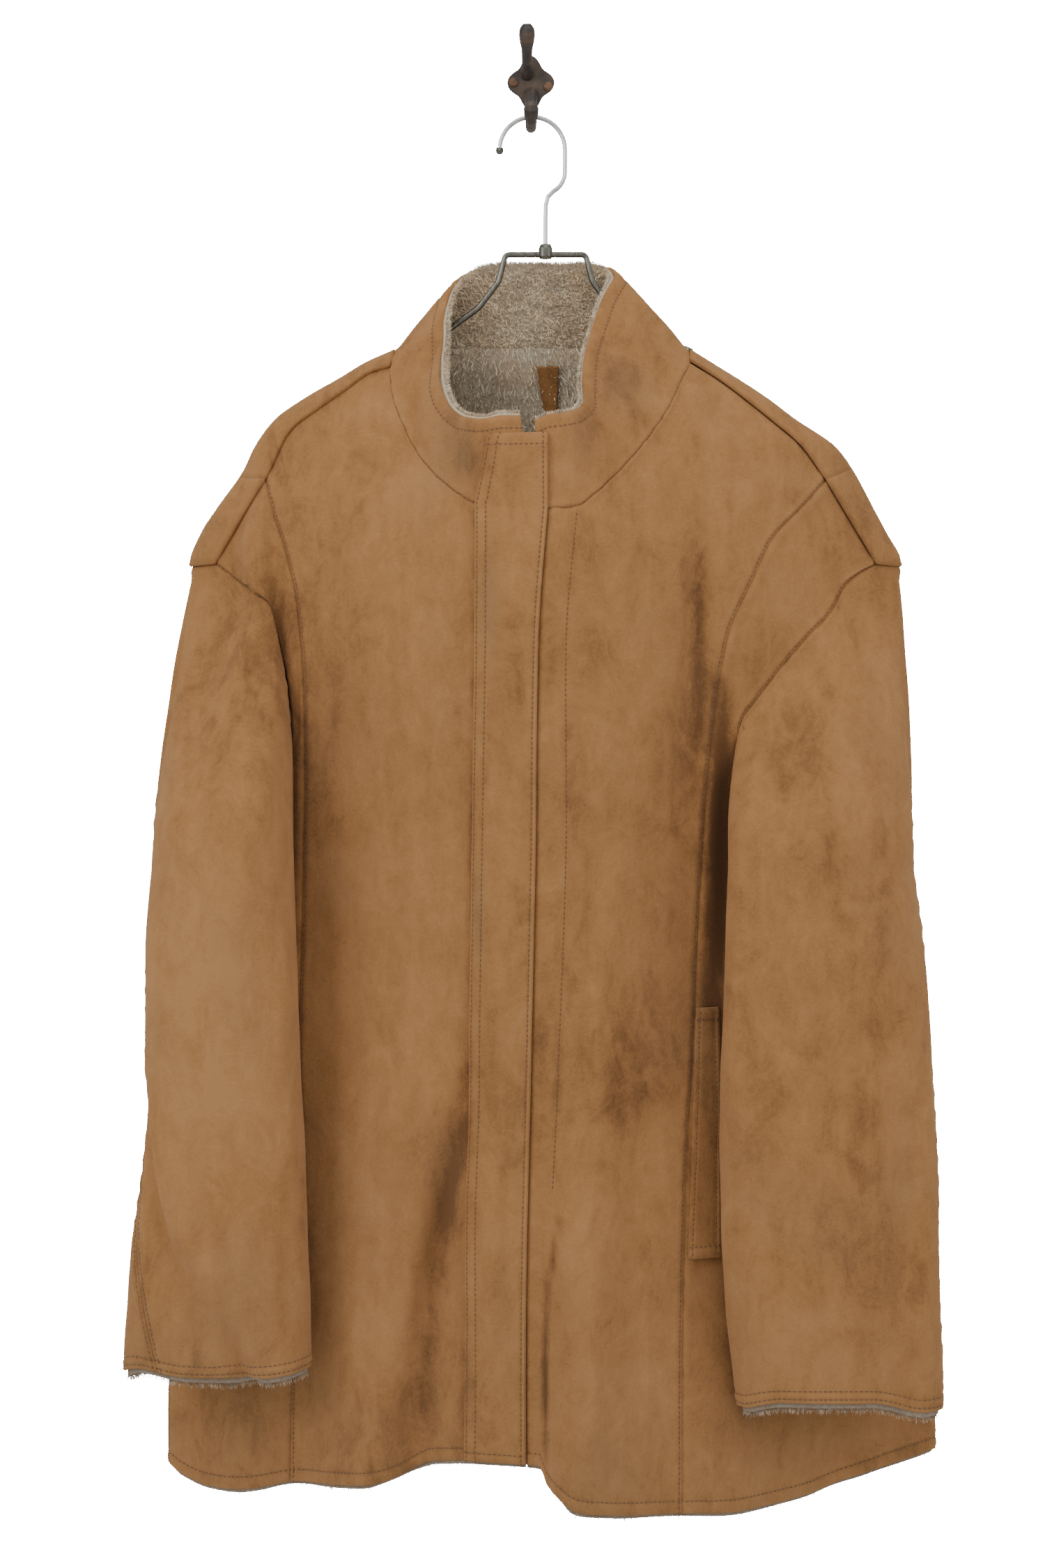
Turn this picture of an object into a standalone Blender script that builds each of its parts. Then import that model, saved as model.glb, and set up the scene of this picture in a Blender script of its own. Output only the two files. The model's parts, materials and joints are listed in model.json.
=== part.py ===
"""A faux shearling coat on a wire hanger that hangs on a cast iron wall hook.

Metres, +Z up, the coat's front towards -Y and the wall at +Y. The origin is on the back face of the
wall hook's plate, at its middle. Every cloth piece is a wall of bonded suede: its outer points lie on
one smooth form, the coat's body or a sleeve, and its inner points are the same ones moved in along
the form's normal. Pieces that are sewn together share their seam points and stand 0.3 mm apart.
"""

import math
from collections import namedtuple

import bpy
import numpy as np

MM = 0.001

# Driving dimensions
MIDDLE = 0.0107  # the coat's middle, to the right of the wall hook's
HANG = -0.065  # the hanger's plane, in front of the wall
SUEDE = 3.0 * MM  # the wall of bonded suede and backing
SEAM_GAP = 0.3 * MM
SIDES = ((1, "right"), (-1, "left"))  # as the viewer sees the coat
FLAP_THICK = 4.0 * MM
WELT_THICK = 3.0 * MM
WELT_LAP = 0.9 * MM  # between the welt and the curved cloth under it
INSIDE = -(SUEDE + SEAM_GAP)  # where what lines the suede starts
PILE = 8.0 * MM  # how deep the fur inside the collar is
PRESSED_PILE = 2.3 * MM
EDGE_PILE = 6.0 * MM  # fur at the cuffs and the hem
CUFF_FUR_DOWN = 7.0 * MM  # how far it stands below the suede
HEM_FUR_DOWN = 5.0 * MM
COLLAR_BULGE = 1.0 * MM
RIM_FUR = 5.0 * MM  # fur standing past the collar's edge
FRAME_WIRE = 4.4 * MM
HOOK_WIRE = 3.6 * MM
UNDERARM = -0.550  # height of the underarm
RIDGE_END = 0.2632  # where the shoulder's ridge meets the armhole, from the coat's middle
PRINCESS_TOP = -0.3128  # height where the front princess seams meet the shoulder seams
HEM_LEVEL = -1.040  # where a panel's width at the hem is measured
PLATE_THICK = 4.0 * MM

Row = namedtuple


class Curve:
    """A smooth curve through rows of (place, value). It never swings past them."""

    def __init__(self, places, values):
        order = np.argsort(places)
        self.place = np.array(places, float)[order]
        self.value = np.array(values, float)[order]
        rise = np.diff(self.value) / np.diff(self.place)
        before, after = rise[:-1], rise[1:]
        same = before * after > 0
        total = np.where(same, before + after, 1.0)
        inner = np.where(same, 2 * before * after / total, 0.0)
        self.slope = np.concatenate([rise[:1], inner, rise[-1:]])

    def __call__(self, at):
        at = min(max(at, self.place[0]), self.place[-1])
        i = min(int(np.searchsorted(self.place, at, "right")) - 1, len(self.place) - 2)
        width = self.place[i + 1] - self.place[i]
        t = (at - self.place[i]) / width
        start = self.value[i] * (1 + 2 * t) * (1 - t) ** 2
        end = self.value[i + 1] * t * t * (3 - 2 * t)
        bend = width * t * (1 - t) * (self.slope[i] * (1 - t) - self.slope[i + 1] * t)
        return float(start + end + bend)


def curve(rows, place, value):
    return Curve([getattr(r, place) for r in rows], [getattr(r, value) for r in rows])


def smooth(t):
    t = min(max(t, 0.0), 1.0)
    return t * t * (3 - 2 * t)


def mix(a, b, t):
    return a + (b - a) * t


# The body's form: half widths from the middle, and depths from the hanger's plane
Level = Row("Level", "z left right crown round back")
LEVELS = [
    Level(-0.2050, 0.0900, 0.0900, 0.008, 0.026, 0.028),
    Level(-0.2165, 0.1110, 0.1067, 0.012, 0.028, 0.030),
    Level(-0.2268, 0.1337, 0.1230, 0.016, 0.029, 0.033),
    Level(-0.2372, 0.1508, 0.1399, 0.020, 0.030, 0.036),
    Level(-0.2527, 0.1779, 0.1637, 0.026, 0.030, 0.039),
    Level(-0.2683, 0.2000, 0.1845, 0.032, 0.030, 0.041),
    Level(-0.2890, 0.2152, 0.2150, 0.039, 0.030, 0.044),
    Level(-0.3049, 0.2225, 0.2268, 0.044, 0.030, 0.045),
    Level(-0.3351, 0.2438, 0.2430, 0.053, 0.031, 0.047),
    Level(-0.3507, 0.2540, 0.2513, 0.056, 0.031, 0.048),
    Level(-0.3755, 0.2632, 0.2632, 0.060, 0.031, 0.049),
    Level(-0.4200, 0.2640, 0.2620, 0.062, 0.031, 0.050),
    Level(-0.4700, 0.2500, 0.2460, 0.062, 0.031, 0.050),
    Level(-0.5200, 0.2300, 0.2170, 0.062, 0.030, 0.050),
    Level(-0.5500, 0.2220, 0.2050, 0.061, 0.030, 0.050),
    Level(-0.6200, 0.2135, 0.2050, 0.060, 0.030, 0.050),
    Level(-0.7500, 0.2320, 0.2220, 0.059, 0.030, 0.050),
    Level(-0.9000, 0.2620, 0.2560, 0.060, 0.030, 0.050),
    Level(-0.9700, 0.2800, 0.2880, 0.062, 0.030, 0.050),
    Level(-1.0300, 0.2810, 0.2910, 0.064, 0.030, 0.050),
    Level(-1.0700, 0.2810, 0.2910, 0.064, 0.030, 0.050),
]
HALF = {-1: curve(LEVELS, "z", "left"), 1: curve(LEVELS, "z", "right")}
CROWN = curve(LEVELS, "z", "crown")
ROUND = curve(LEVELS, "z", "round")
BACK = curve(LEVELS, "z", "back")
TIP = -0.3755  # the shoulder's tip, where the armhole seam starts
COLLAR_TOP = -0.2050

# Folds: a soft ridge (out above 0) or trough that runs from top to bottom. face 1 is the front.
# near and far are its widths towards the viewer's left and right.
Fold = Row("Fold", "face z_top z_low x_top x_mid x_low near far out_top out_mid out_low")
BODY_FOLDS = [
    Fold(1, -0.57, -1.08, 0.050, 0.022, 0.012, 0.015, 0.060, 0.002, 0.012, 0.028),
    Fold(1, -0.74, -1.06, -0.057, -0.082, -0.096, 0.018, 0.018, -0.003, -0.012, -0.014),
    Fold(1, -0.72, -1.06, -0.100, -0.118, -0.130, 0.030, 0.022, 0.003, 0.008, 0.014),
    Fold(1, -0.31, -0.60, 0.118, 0.108, 0.100, 0.012, 0.014, -0.003, -0.006, -0.002),
    Fold(1, -0.29, -0.52, -0.213, -0.211, -0.209, 0.010, 0.015, 0.005, 0.010, 0.008),
    Fold(1, -0.80, -1.08, 0.125, 0.130, 0.135, 0.030, 0.030, 0.001, 0.006, 0.012),
    Fold(1, -0.85, -1.08, 0.205, 0.210, 0.214, 0.020, 0.020, -0.001, -0.006, -0.012),
    Fold(1, -0.85, -1.08, -0.220, -0.223, -0.226, 0.026, 0.026, 0.002, 0.008, 0.014),
    Fold(1, -0.85, -1.08, -0.180, -0.182, -0.183, 0.015, 0.015, -0.001, -0.005, -0.010),
    Fold(-1, -0.45, -1.08, -0.090, -0.100, -0.110, 0.030, 0.030, -0.002, -0.008, -0.012),
    Fold(-1, -0.40, -1.08, 0.075, 0.090, 0.100, 0.028, 0.028, -0.002, -0.009, -0.013),
    Fold(-1, -0.70, -1.08, 0.000, 0.004, 0.008, 0.025, 0.025, -0.001, -0.005, -0.008),
]


def fold_out(fold, x, z):
    t = (fold.z_top - z) / (fold.z_top - fold.z_low)
    if t <= 0 or t >= 1.2:
        return 0.0
    line = Curve([0, 0.5, 1.0], [fold.x_top, fold.x_mid, fold.x_low])(t)
    out = Curve([0, 0.15, 0.5, 1.0], [0, fold.out_top, fold.out_mid, fold.out_low])(t)
    width = fold.near if x < line else fold.far
    return out * math.exp(-(((x - line) / width) ** 2))


BACK_POWER = 2.6  # 2 is an ellipse, and more is squarer


def body_xyz(angle, z):
    """A point of the body's ring at this height: angle 0 is the front's middle, pi the back's."""
    side = 1 if math.sin(angle) >= 0 else -1
    half = HALF[side](z)
    u = abs(math.sin(angle))
    x = side * half * u
    if math.cos(angle) >= 0:
        deep = -CROWN(z) * math.cos(math.pi / 2 * u) ** 2 - ROUND(z) * math.cos(angle)
        face = 1
    else:
        deep = BACK(z) * max(1 - u**BACK_POWER, 0.0) ** (1 / BACK_POWER)
        face = -1
    edge = smooth((1 - u) * 6)
    for fold in BODY_FOLDS:
        if fold.face == face:
            deep -= face * edge * fold_out(fold, x, z)
    return np.array([MIDDLE + x, HANG + deep, z])


def body_angle(x, z, face):
    half = HALF[1 if x >= 0 else -1](z)
    angle = math.asin(min(abs(x) / half, 1.0))
    angle = angle if face > 0 else math.pi - angle
    return angle if x >= 0 else -angle


def body(x, z, face=1):
    """(point, outward normal) of the body's form, x from the coat's middle, face 1 front or -1 back."""
    angle = body_angle(x, z, face)
    turn, drop = 1e-3, 2e-4
    around = body_xyz(angle + turn, z) - body_xyz(angle - turn, z)
    up = body_xyz(angle, z + drop) - body_xyz(angle, z - drop)
    normal = np.cross(around, up)
    normal /= np.linalg.norm(normal)
    return body_xyz(angle, z), normal


def ridge(x):
    """Height of the shoulder's ridge at x."""
    half = HALF[1 if x >= 0 else -1]
    low, high = TIP, COLLAR_TOP
    for _ in range(40):
        middle = (low + high) / 2
        if half(middle) > abs(x):
            low = middle
        else:
            high = middle
    return (low + high) / 2


# Seams on the body, x from the coat's middle
Seam = Row("Seam", "z x")
RIGHT_PRINCESS = [
    Seam(PRINCESS_TOP, 0.2068),
    Seam(-0.3321, 0.1895),
    Seam(-0.3574, 0.1658),
    Seam(-0.3922, 0.1491),
    Seam(-0.4291, 0.1324),
    Seam(-0.4741, 0.1238),
    Seam(-0.5500, 0.1160),
    Seam(-0.7241, 0.1072),
    Seam(-0.8398, 0.0996),
    Seam(-1.0600, 0.0971),
]
LEFT_PRINCESS = [
    Seam(PRINCESS_TOP, -0.2050),
    Seam(-0.3387, -0.1985),
    Seam(-0.3670, -0.1894),
    Seam(-0.4038, -0.1818),
    Seam(-0.4741, -0.1777),
    Seam(-0.7500, -0.1820),
    Seam(-1.0424, -0.1873),
]
BACK_PRINCESS = [
    Seam(-0.3035, 0.2264),
    Seam(-0.3500, 0.1980),
    Seam(-0.4200, 0.1700),
    Seam(-0.5500, 0.1500),
    Seam(-0.8000, 0.1480),
    Seam(-1.0700, 0.1600),
]
CLOSING = [
    Seam(-0.3402, -0.0042),
    Seam(-0.4380, -0.0077),
    Seam(-0.5500, -0.0078),
    Seam(-0.7233, -0.0111),
    Seam(-0.9446, -0.0151),
    Seam(-1.0600, -0.0146),
]
FLAP_EDGE = [
    Seam(-0.3516, -0.0499),
    Seam(-0.4380, -0.0508),
    Seam(-0.7233, -0.0548),
    Seam(-0.9446, -0.0573),
    Seam(-1.0200, -0.0583),
]
RIGHT_ARMHOLE = [
    Seam(-0.3745, 0.2440),
    Seam(-0.3800, 0.2330),
    Seam(-0.3889, 0.2210),
    Seam(-0.3980, 0.2160),
    Seam(-0.4080, 0.2115),
    Seam(-0.4330, 0.1885),
    Seam(-0.4668, 0.1609),
    Seam(-0.4964, 0.1410),
    Seam(-0.5250, 0.1600),
    Seam(-0.5500, 0.2050),
]
LEFT_ARMHOLE = [
    Seam(-0.3745, 0.2440),
    Seam(-0.3858, 0.2280),
    Seam(-0.3925, 0.2180),
    Seam(-0.4001, 0.2070),
    Seam(-0.4087, 0.2010),
    Seam(-0.4368, 0.1950),
    Seam(-0.4668, 0.1900),
    Seam(-0.4964, 0.1880),
    Seam(-0.5250, 0.1980),
    Seam(-0.5500, 0.2220),
]
Two = Row("Two", "z left right")
BACK_ARMHOLE = [
    Two(-0.3755, 0.2632, 0.2632),
    Two(-0.4000, 0.2400, 0.2380),
    Two(-0.4400, 0.2150, 0.2080),
    Two(-0.4900, 0.2050, 0.1950),
    Two(-0.5250, 0.2090, 0.1970),
    Two(-0.5500, 0.2220, 0.2050),
]
princess = {1: curve(RIGHT_PRINCESS, "z", "x"), -1: curve(LEFT_PRINCESS, "z", "x")}
back_princess = curve(BACK_PRINCESS, "z", "x")
closing = curve(CLOSING, "z", "x")
flap_edge = curve(FLAP_EDGE, "z", "x")
armhole = {1: curve(RIGHT_ARMHOLE, "z", "x"), -1: curve(LEFT_ARMHOLE, "z", "x")}
back_armhole = {1: curve(BACK_ARMHOLE, "z", "right"), -1: curve(BACK_ARMHOLE, "z", "left")}

# Hem heights round the coat, x from the middle
Hem = Row("Hem", "x front back")
HEMS = [
    Hem(-0.281, -1.0410, -1.041),
    Hem(-0.270, -1.0480, -1.043),
    Hem(-0.250, -1.0540, -1.044),
    Hem(-0.222, -1.0525, -1.046),
    Hem(-0.187, -1.0480, -1.046),
    Hem(-0.139, -1.0420, -1.045),
    Hem(-0.105, -1.0355, -1.044),
    Hem(-0.081, -1.0235, -1.044),
    Hem(-0.058, -1.0205, -1.044),
    Hem(-0.004, -1.0220, -1.046),
    Hem(0.0002, -1.0345, -1.046),
    Hem(0.0074, -1.0402, -1.046),
    Hem(0.022, -1.0497, -1.047),
    Hem(0.042, -1.0532, -1.048),
    Hem(0.066, -1.0566, -1.049),
    Hem(0.137, -1.0605, -1.052),
    Hem(0.192, -1.0565, -1.053),
    Hem(0.248, -1.0405, -1.046),
    Hem(0.291, -1.0300, -1.030),
]
hem = {1: curve(HEMS, "x", "front"), -1: curve(HEMS, "x", "back")}

# The neck: where the collar is sewn on, and the collar's edge, right round the neck.
# face 1 is on the front of the body's form, -1 on the back.
Neck = Row("Neck", "face x z edge_x edge_y edge_z")
NECK = [
    Neck(1, 0.0005, -0.3400, 0.0005, -0.150, -0.2732),
    Neck(1, 0.0203, -0.3382, 0.0147, -0.149, -0.2712),
    Neck(1, 0.0420, -0.3220, 0.0262, -0.144, -0.2665),
    Neck(1, 0.0657, -0.2962, 0.0288, -0.134, -0.2585),
    Neck(1, 0.0814, -0.2750, 0.0272, -0.123, -0.2440),
    Neck(1, 0.0930, -0.2553, 0.0295, -0.111, -0.2225),
    Neck(1, 0.1011, -0.2366, 0.0349, -0.098, -0.2030),
    Neck(1, 0.1069, -0.2259, 0.0430, -0.082, -0.1780),
    Neck(1, 0.1067, -0.2165, 0.0530, -0.062, -0.1570),
    Neck(-1, 0.0900, -0.2120, 0.0480, -0.046, -0.1490),
    Neck(-1, 0.0600, -0.2095, 0.0350, -0.038, -0.1480),
    Neck(-1, 0.0200, -0.2090, 0.0050, -0.035, -0.1490),
    Neck(-1, -0.0250, -0.2090, -0.0280, -0.036, -0.1490),
    Neck(-1, -0.0650, -0.2095, -0.0510, -0.041, -0.1510),
    Neck(-1, -0.0950, -0.2120, -0.0660, -0.052, -0.1580),
    Neck(1, -0.1110, -0.2165, -0.0720, -0.065, -0.1680),
    Neck(1, -0.1150, -0.2300, -0.0760, -0.082, -0.1850),
    Neck(1, -0.1130, -0.2500, -0.0785, -0.099, -0.2098),
    Neck(1, -0.1055, -0.2720, -0.0785, -0.114, -0.2380),
    Neck(1, -0.0929, -0.2972, -0.0728, -0.127, -0.2612),
    Neck(1, -0.0720, -0.3210, -0.0612, -0.137, -0.2726),
    Neck(1, -0.0509, -0.3351, -0.0459, -0.144, -0.2755),
    Neck(1, -0.0290, -0.3400, -0.0333, -0.148, -0.2735),
    Neck(1, -0.0080, -0.3400, -0.0195, -0.149, -0.2735),
]
RIGHT_SIDE = 7  # the row of NECK where the right shoulder seam meets the collar
RIGHT_RIDGE = 8
LEFT_RIDGE = 15
LEFT_SIDE = 16
FLAP_STATION = 21  # where the flap's free edge crosses the neck seam

# The shoulder seam lies a little to the front of the ridge
Shoulder = Row("Shoulder", "seam_x drop ridge_x")
SHOULDER = [
    Shoulder(0.1285, 0.0090, 0.1310),
    Shoulder(0.1486, 0.0115, 0.1510),
    Shoulder(0.1692, 0.0140, 0.1730),
    Shoulder(0.1882, 0.0165, 0.1980),
    Shoulder(0.2068, 0.0300, 0.2264),
]
CAP_COLUMNS = 4  # columns across the side panels
CAP_END = Seam(-0.3745, 0.2440)
STRIP_ROWS = 3


def cap_stations():
    """Front seam and ridge points from the princess seam to the shoulder's tip."""
    first = SHOULDER[-1]
    for i in range(1, CAP_COLUMNS + 1):
        t = i / CAP_COLUMNS
        ridge_x = mix(first.ridge_x, RIDGE_END, t)
        seam_x = mix(first.seam_x, CAP_END.x, t)
        yield seam_x, mix(PRINCESS_TOP, CAP_END.z, t), ridge_x


# Rows of every body panel, as shares of the way up: from the hem to the underarm, and on to the top
LOW_ROWS = [0.0, 0.03, 0.13, 0.24, 0.36, 0.48, 0.61, 0.74, 0.87, 1.0]
HIGH_ROWS = [0.14, 0.30, 0.46, 0.62, 0.76, 0.89, 1.0]
BACK_ROWS = [0.14, 0.30, 0.48, 0.66, 0.82, 0.94, 1.0]

Patch = Row("Patch", "points normals")


def patch(rows):
    """Rows of (point, normal) pairs as two arrays."""
    points = np.array([[p for p, _ in row] for row in rows])
    return Patch(points, np.array([[n for _, n in row] for row in rows]))


def column(face, low_x, top, left, right, share):
    """One upright line of a panel, from the hem up to its top point, between two seams."""
    top_x, top_z = top
    hem_z = hem[face](low_x)
    high = HIGH_ROWS if face > 0 else BACK_ROWS
    heights = [mix(hem_z, UNDERARM, t) for t in LOW_ROWS]
    heights += [mix(UNDERARM, top_z, t) for t in high]
    shift = top_x - mix(left(top_z), right(top_z), share)
    line = []
    for z in heights:
        t = max((z - UNDERARM) / (top_z - UNDERARM), 0.0)
        x = mix(left(z), right(z), share) + shift * t * t
        line.append((x, z))
    return line


def shares(points):
    """How far each point is along the line through them, from 0 to 1."""
    steps = [math.dist(a, b) for a, b in zip(points, points[1:])]
    return np.concatenate([[0.0], np.cumsum(steps)]) / sum(steps)


def panel_columns(face, tops, left, right):
    """All the lines of a panel. tops are its top points, from the left seam to the right one."""
    lines = []
    for share, top in zip(shares(tops), tops):
        low_x = mix(left(HEM_LEVEL), right(HEM_LEVEL), share)
        lines.append(column(face, low_x, top, left, right, share))
    return lines


def panel(face, tops, left, right):
    lines = panel_columns(face, tops, left, right)
    rows = range(len(lines[0]))
    return patch([[body(line[j][0], line[j][1], face) for line in lines] for j in rows])


def strip(side, seam_points, ridge_points):
    """The part of a back panel that comes over the shoulder's ridge to the seam in front."""
    rows = []
    for k in range(STRIP_ROWS + 1):
        t = (k / STRIP_ROWS) ** 2
        row = []
        for (sx, sz), (rx, rz) in zip(seam_points, ridge_points):
            row.append(body(side * mix(rx, sx, t), mix(rz, sz, t), 1))
        rows.append(row)
    return patch(rows)


def mirrored(side, line):
    """The line on the given side of the coat."""
    def placed(z):
        return side * line(z)
    return placed


def front_shoulder(side):
    """(x, z) of the shoulder seam from the collar to the princess seam."""
    return [(side * s.seam_x, ridge(side * s.seam_x) - s.drop) for s in SHOULDER]


def princess_top(side):
    return (side * SHOULDER[-1].seam_x, PRINCESS_TOP)


# ---------------------------------------------------------------- solids


def material(name, colour, roughness, metallic=0.0):
    made = bpy.data.materials.new(name)
    made.use_nodes = True
    shader = made.node_tree.nodes["Principled BSDF"]
    shader.inputs["Base Color"].default_value = (*colour, 1)
    shader.inputs["Roughness"].default_value = roughness
    shader.inputs["Metallic"].default_value = metallic
    return made


def add(name, points, faces, finish):
    mesh = bpy.data.meshes.new(name)
    mesh.from_pydata([tuple(p) for p in points], [], faces)
    mesh.materials.append(finish)
    mesh.validate()
    mesh.shade_smooth()
    mesh.set_sharp_from_angle(angle=math.radians(35))
    made = bpy.data.objects.new(name, mesh)
    bpy.context.scene.collection.objects.link(made)
    return made


def pulled_back(points, edges):
    """The points with the named edges drawn in by half a seam's gap."""
    points = points.copy()
    pull = SEAM_GAP / 2
    pairs = {"low": (0, 1), "top": (-1, -2)}
    for edge, (outer, inner) in pairs.items():
        if edge in edges:
            way = points[inner] - points[outer]
            points[outer] += pull * way / np.linalg.norm(way, axis=1, keepdims=True)
    pairs = {"left": (0, 1), "right": (-1, -2)}
    for edge, (outer, inner) in pairs.items():
        if edge in edges:
            way = points[:, inner] - points[:, outer]
            points[:, outer] += pull * way / np.linalg.norm(way, axis=1, keepdims=True)
    return points


def grid_faces(rows, columns, closed=False, start=0):
    faces = []
    for j in range(rows - 1):
        for i in range(columns - (0 if closed else 1)):
            k = (i + 1) % columns
            faces.append(tuple(start + v for v in
                               (j * columns + i, j * columns + k, (j + 1) * columns + k,
                                (j + 1) * columns + i)))
    return faces


def folded(points, faces):
    """The faces, each starting where its shorter diagonal does, so that all layers split alike."""
    turned_faces = []
    for a, b, c, d in faces:
        longer = math.dist(points[a], points[c]) > math.dist(points[b], points[d])
        turned_faces.append((b, c, d, a) if longer else (a, b, c, d))
    return turned_faces


def wall(name, form_points, outer, inner, faces, finish):
    """A closed wall between two layers of points that share their faces."""
    count = len(outer)
    faces = folded(form_points, faces)
    edges = {edge for face in faces for edge in zip(face, face[1:] + face[:1])}
    all_faces = list(faces)
    all_faces += [tuple(count + v for v in (a, d, c, b)) for a, b, c, d in faces]
    for a, b in sorted(edges):
        if (b, a) in edges:
            continue
        if tuple(form_points[a][::-1]) < tuple(form_points[b][::-1]):
            all_faces.append((a, count + a, count + b, b))
        else:
            all_faces.append((b, a, count + a, count + b))
    return add(name, np.vstack([outer, inner]), all_faces, finish)


def cloth(name, form, finish, thick=SUEDE, out=0.0, seams="low top left right", closed=False):
    """A patch of cloth, moved out from its form by out, and as thick as given."""
    edges = seams.split()
    top = pulled_back(form.points + form.normals * out, edges)
    low = pulled_back(form.points + form.normals * (out - thick), edges)
    rows, columns = form.points.shape[:2]
    faces = grid_faces(rows, columns, closed)
    layers = [layer.reshape(-1, 3) for layer in (form.points, top, low)]
    return wall(name, *layers, faces, finish)


def cloth_with_strips(name, main, strips, finish):
    """A back panel: its main patch, with strips over the shoulder joined to its top row.

    strips holds (first column of the main patch, strip patch) pairs, whose first row is the ridge.
    """
    form_points, outer, inner = [main.points.reshape(-1, 3)], [], []
    faces = []
    for store, thick in ((outer, 0.0), (inner, SUEDE)):
        top = pulled_back(main.points - main.normals * thick, ["left", "right"])
        store.append(top.reshape(-1, 3))
    rows, columns = main.points.shape[:2]
    # Seen from behind, the panel's left and right change places, so its faces turn round.
    faces += [tuple(reversed(f)) for f in grid_faces(rows, columns)]
    start = rows * columns
    for first, edges, form in strips:
        for store, thick in ((outer, 0.0), (inner, SUEDE)):
            points = pulled_back(form.points - form.normals * thick, edges)
            store.append(points[1:].reshape(-1, 3))
        form_points.append(form.points[1:].reshape(-1, 3))
        deep, wide = form.points.shape[:2]
        base = [(rows - 1) * columns + first + i for i in range(wide)]
        for k in range(1, deep):
            row = [start + (k - 1) * wide + i for i in range(wide)]
            for i in range(wide - 1):
                faces.append((base[i + 1], base[i], row[i], row[i + 1]))
            base = row
        start += (deep - 1) * wide
    layers = [np.vstack(layer) for layer in (form_points, outer, inner)]
    return wall(name, *layers, faces, finish)


# ---------------------------------------------------------------- fronts and backs


def neck_points(first, last):
    return [(n.x, n.z) for n in NECK[first : last + 1]]


def side_by_side(left, right):
    """Two patches that share a column, as one."""
    points = np.concatenate([left.points, right.points[:, 1:]], axis=1)
    return Patch(points, np.concatenate([left.normals, right.normals[:, 1:]], axis=1))


def lapped(z):
    """Edge of the left front, just under the flap's sewn edge."""
    return closing(z) - 4 * SEAM_GAP


def right_front_form():
    top = neck_points(0, RIGHT_SIDE) + front_shoulder(1)
    top[-1] = princess_top(1)
    return panel(1, top, closing, princess[1])


def left_front_forms():
    """The left front as two patches that meet under the flap's free edge."""
    outer = [princess_top(-1)] + front_shoulder(-1)[-2::-1]
    outer += neck_points(LEFT_SIDE, FLAP_STATION)
    under = neck_points(FLAP_STATION, len(NECK) - 1)
    return panel(1, outer, princess[-1], flap_edge), panel(1, under, flap_edge, lapped)


def make_fronts(suede):
    cloth("front_right", right_front_form(), suede, seams="top left right")
    cloth("front_left", side_by_side(*left_front_forms()), suede, seams="top left right")


def side_tops(side):
    points = [princess_top(side)]
    points += [(side * x, z) for x, z, _ in cap_stations()]
    return points


def side_form(side):
    tops = side_tops(side)
    if side > 0:
        return panel(1, tops, princess[1], front_edge(1))
    return panel(1, tops[::-1], front_edge(-1), princess[-1])


def make_sides(suede):
    for side, word in SIDES:
        cloth(f"side_front_{word}", side_form(side), suede, seams="top left right")


def front_edge(side):
    """The front armhole, and the side seam below it."""
    def edge(z):
        return side * (armhole[side](z) if z > UNDERARM else HALF[side](z))
    return edge


def back_edge(side):
    """The back armhole, and the side seam below it."""
    def edge(z):
        return side * (back_armhole[side](z) if z > UNDERARM else HALF[side](z))
    return edge


def back_ridges(side):
    return [(side * r.ridge_x, ridge(side * r.ridge_x)) for r in SHOULDER]


def back_form():
    """The centre back, from the left princess seam to the right one, up to the neck and the ridges."""
    neck = neck_points(RIGHT_RIDGE, LEFT_RIDGE)[::-1]
    tops = back_ridges(-1)[::-1] + neck + back_ridges(1)
    return panel(-1, tops, mirrored(-1, back_princess), back_princess)


def side_back_parts(side):
    first = SHOULDER[-1]
    ridge_points = [(first.ridge_x, ridge(side * first.ridge_x))]
    seam_points = [(first.seam_x, PRINCESS_TOP)]
    for seam_x, seam_z, ridge_x in cap_stations():
        seam_points.append((seam_x, seam_z))
        ridge_points.append((ridge_x, ridge(side * ridge_x)))
    ridge_points[-1] = (RIDGE_END, TIP)
    tops = [(side * x, z) for x, z in ridge_points]
    form = strip(side, seam_points, ridge_points)
    if side > 0:
        return panel(-1, tops, back_princess, back_edge(1)), form
    main = panel(-1, tops[::-1], back_edge(-1), mirrored(-1, back_princess))
    return main, Patch(form.points[:, ::-1], form.normals[:, ::-1])


def straight_edge(form):
    """The strip with its first column, under the collar, straight from end to end."""
    for grid in form:
        first, last = grid[0, 0].copy(), grid[-1, 0].copy()
        for k in range(STRIP_ROWS + 1):
            grid[k, 0] = mix(first, last, (k / STRIP_ROWS) ** 2)
    return form


def make_backs(suede):
    main = back_form()
    columns = main.points.shape[1]
    strips = []
    for side in (-1, 1):
        neck = NECK[RIGHT_SIDE if side > 0 else LEFT_SIDE]
        collar_end = NECK[RIGHT_RIDGE if side > 0 else LEFT_RIDGE]
        seam = [(side * neck.x, neck.z)]
        seam += [(side * x, z) for x, z in front_shoulder(side)[:-1]]
        seam.append((SHOULDER[-1].seam_x, PRINCESS_TOP))
        top = [(side * collar_end.x, collar_end.z)] + [(side * x, z) for x, z in back_ridges(side)]
        form = straight_edge(strip(side, seam, top))
        if side < 0:
            form = Patch(form.points[:, ::-1], form.normals[:, ::-1])
        first = 0 if side < 0 else columns - len(top)
        strips.append((first, ["top", "left", "right"], form))
    cloth_with_strips("back_centre", main, strips, suede)
    for side, word in SIDES:
        main, form = side_back_parts(side)
        cloth_with_strips(f"side_back_{word}", main, [(0, ["top", "left", "right"], form)], suede)


# ---------------------------------------------------------------- sleeves

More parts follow.
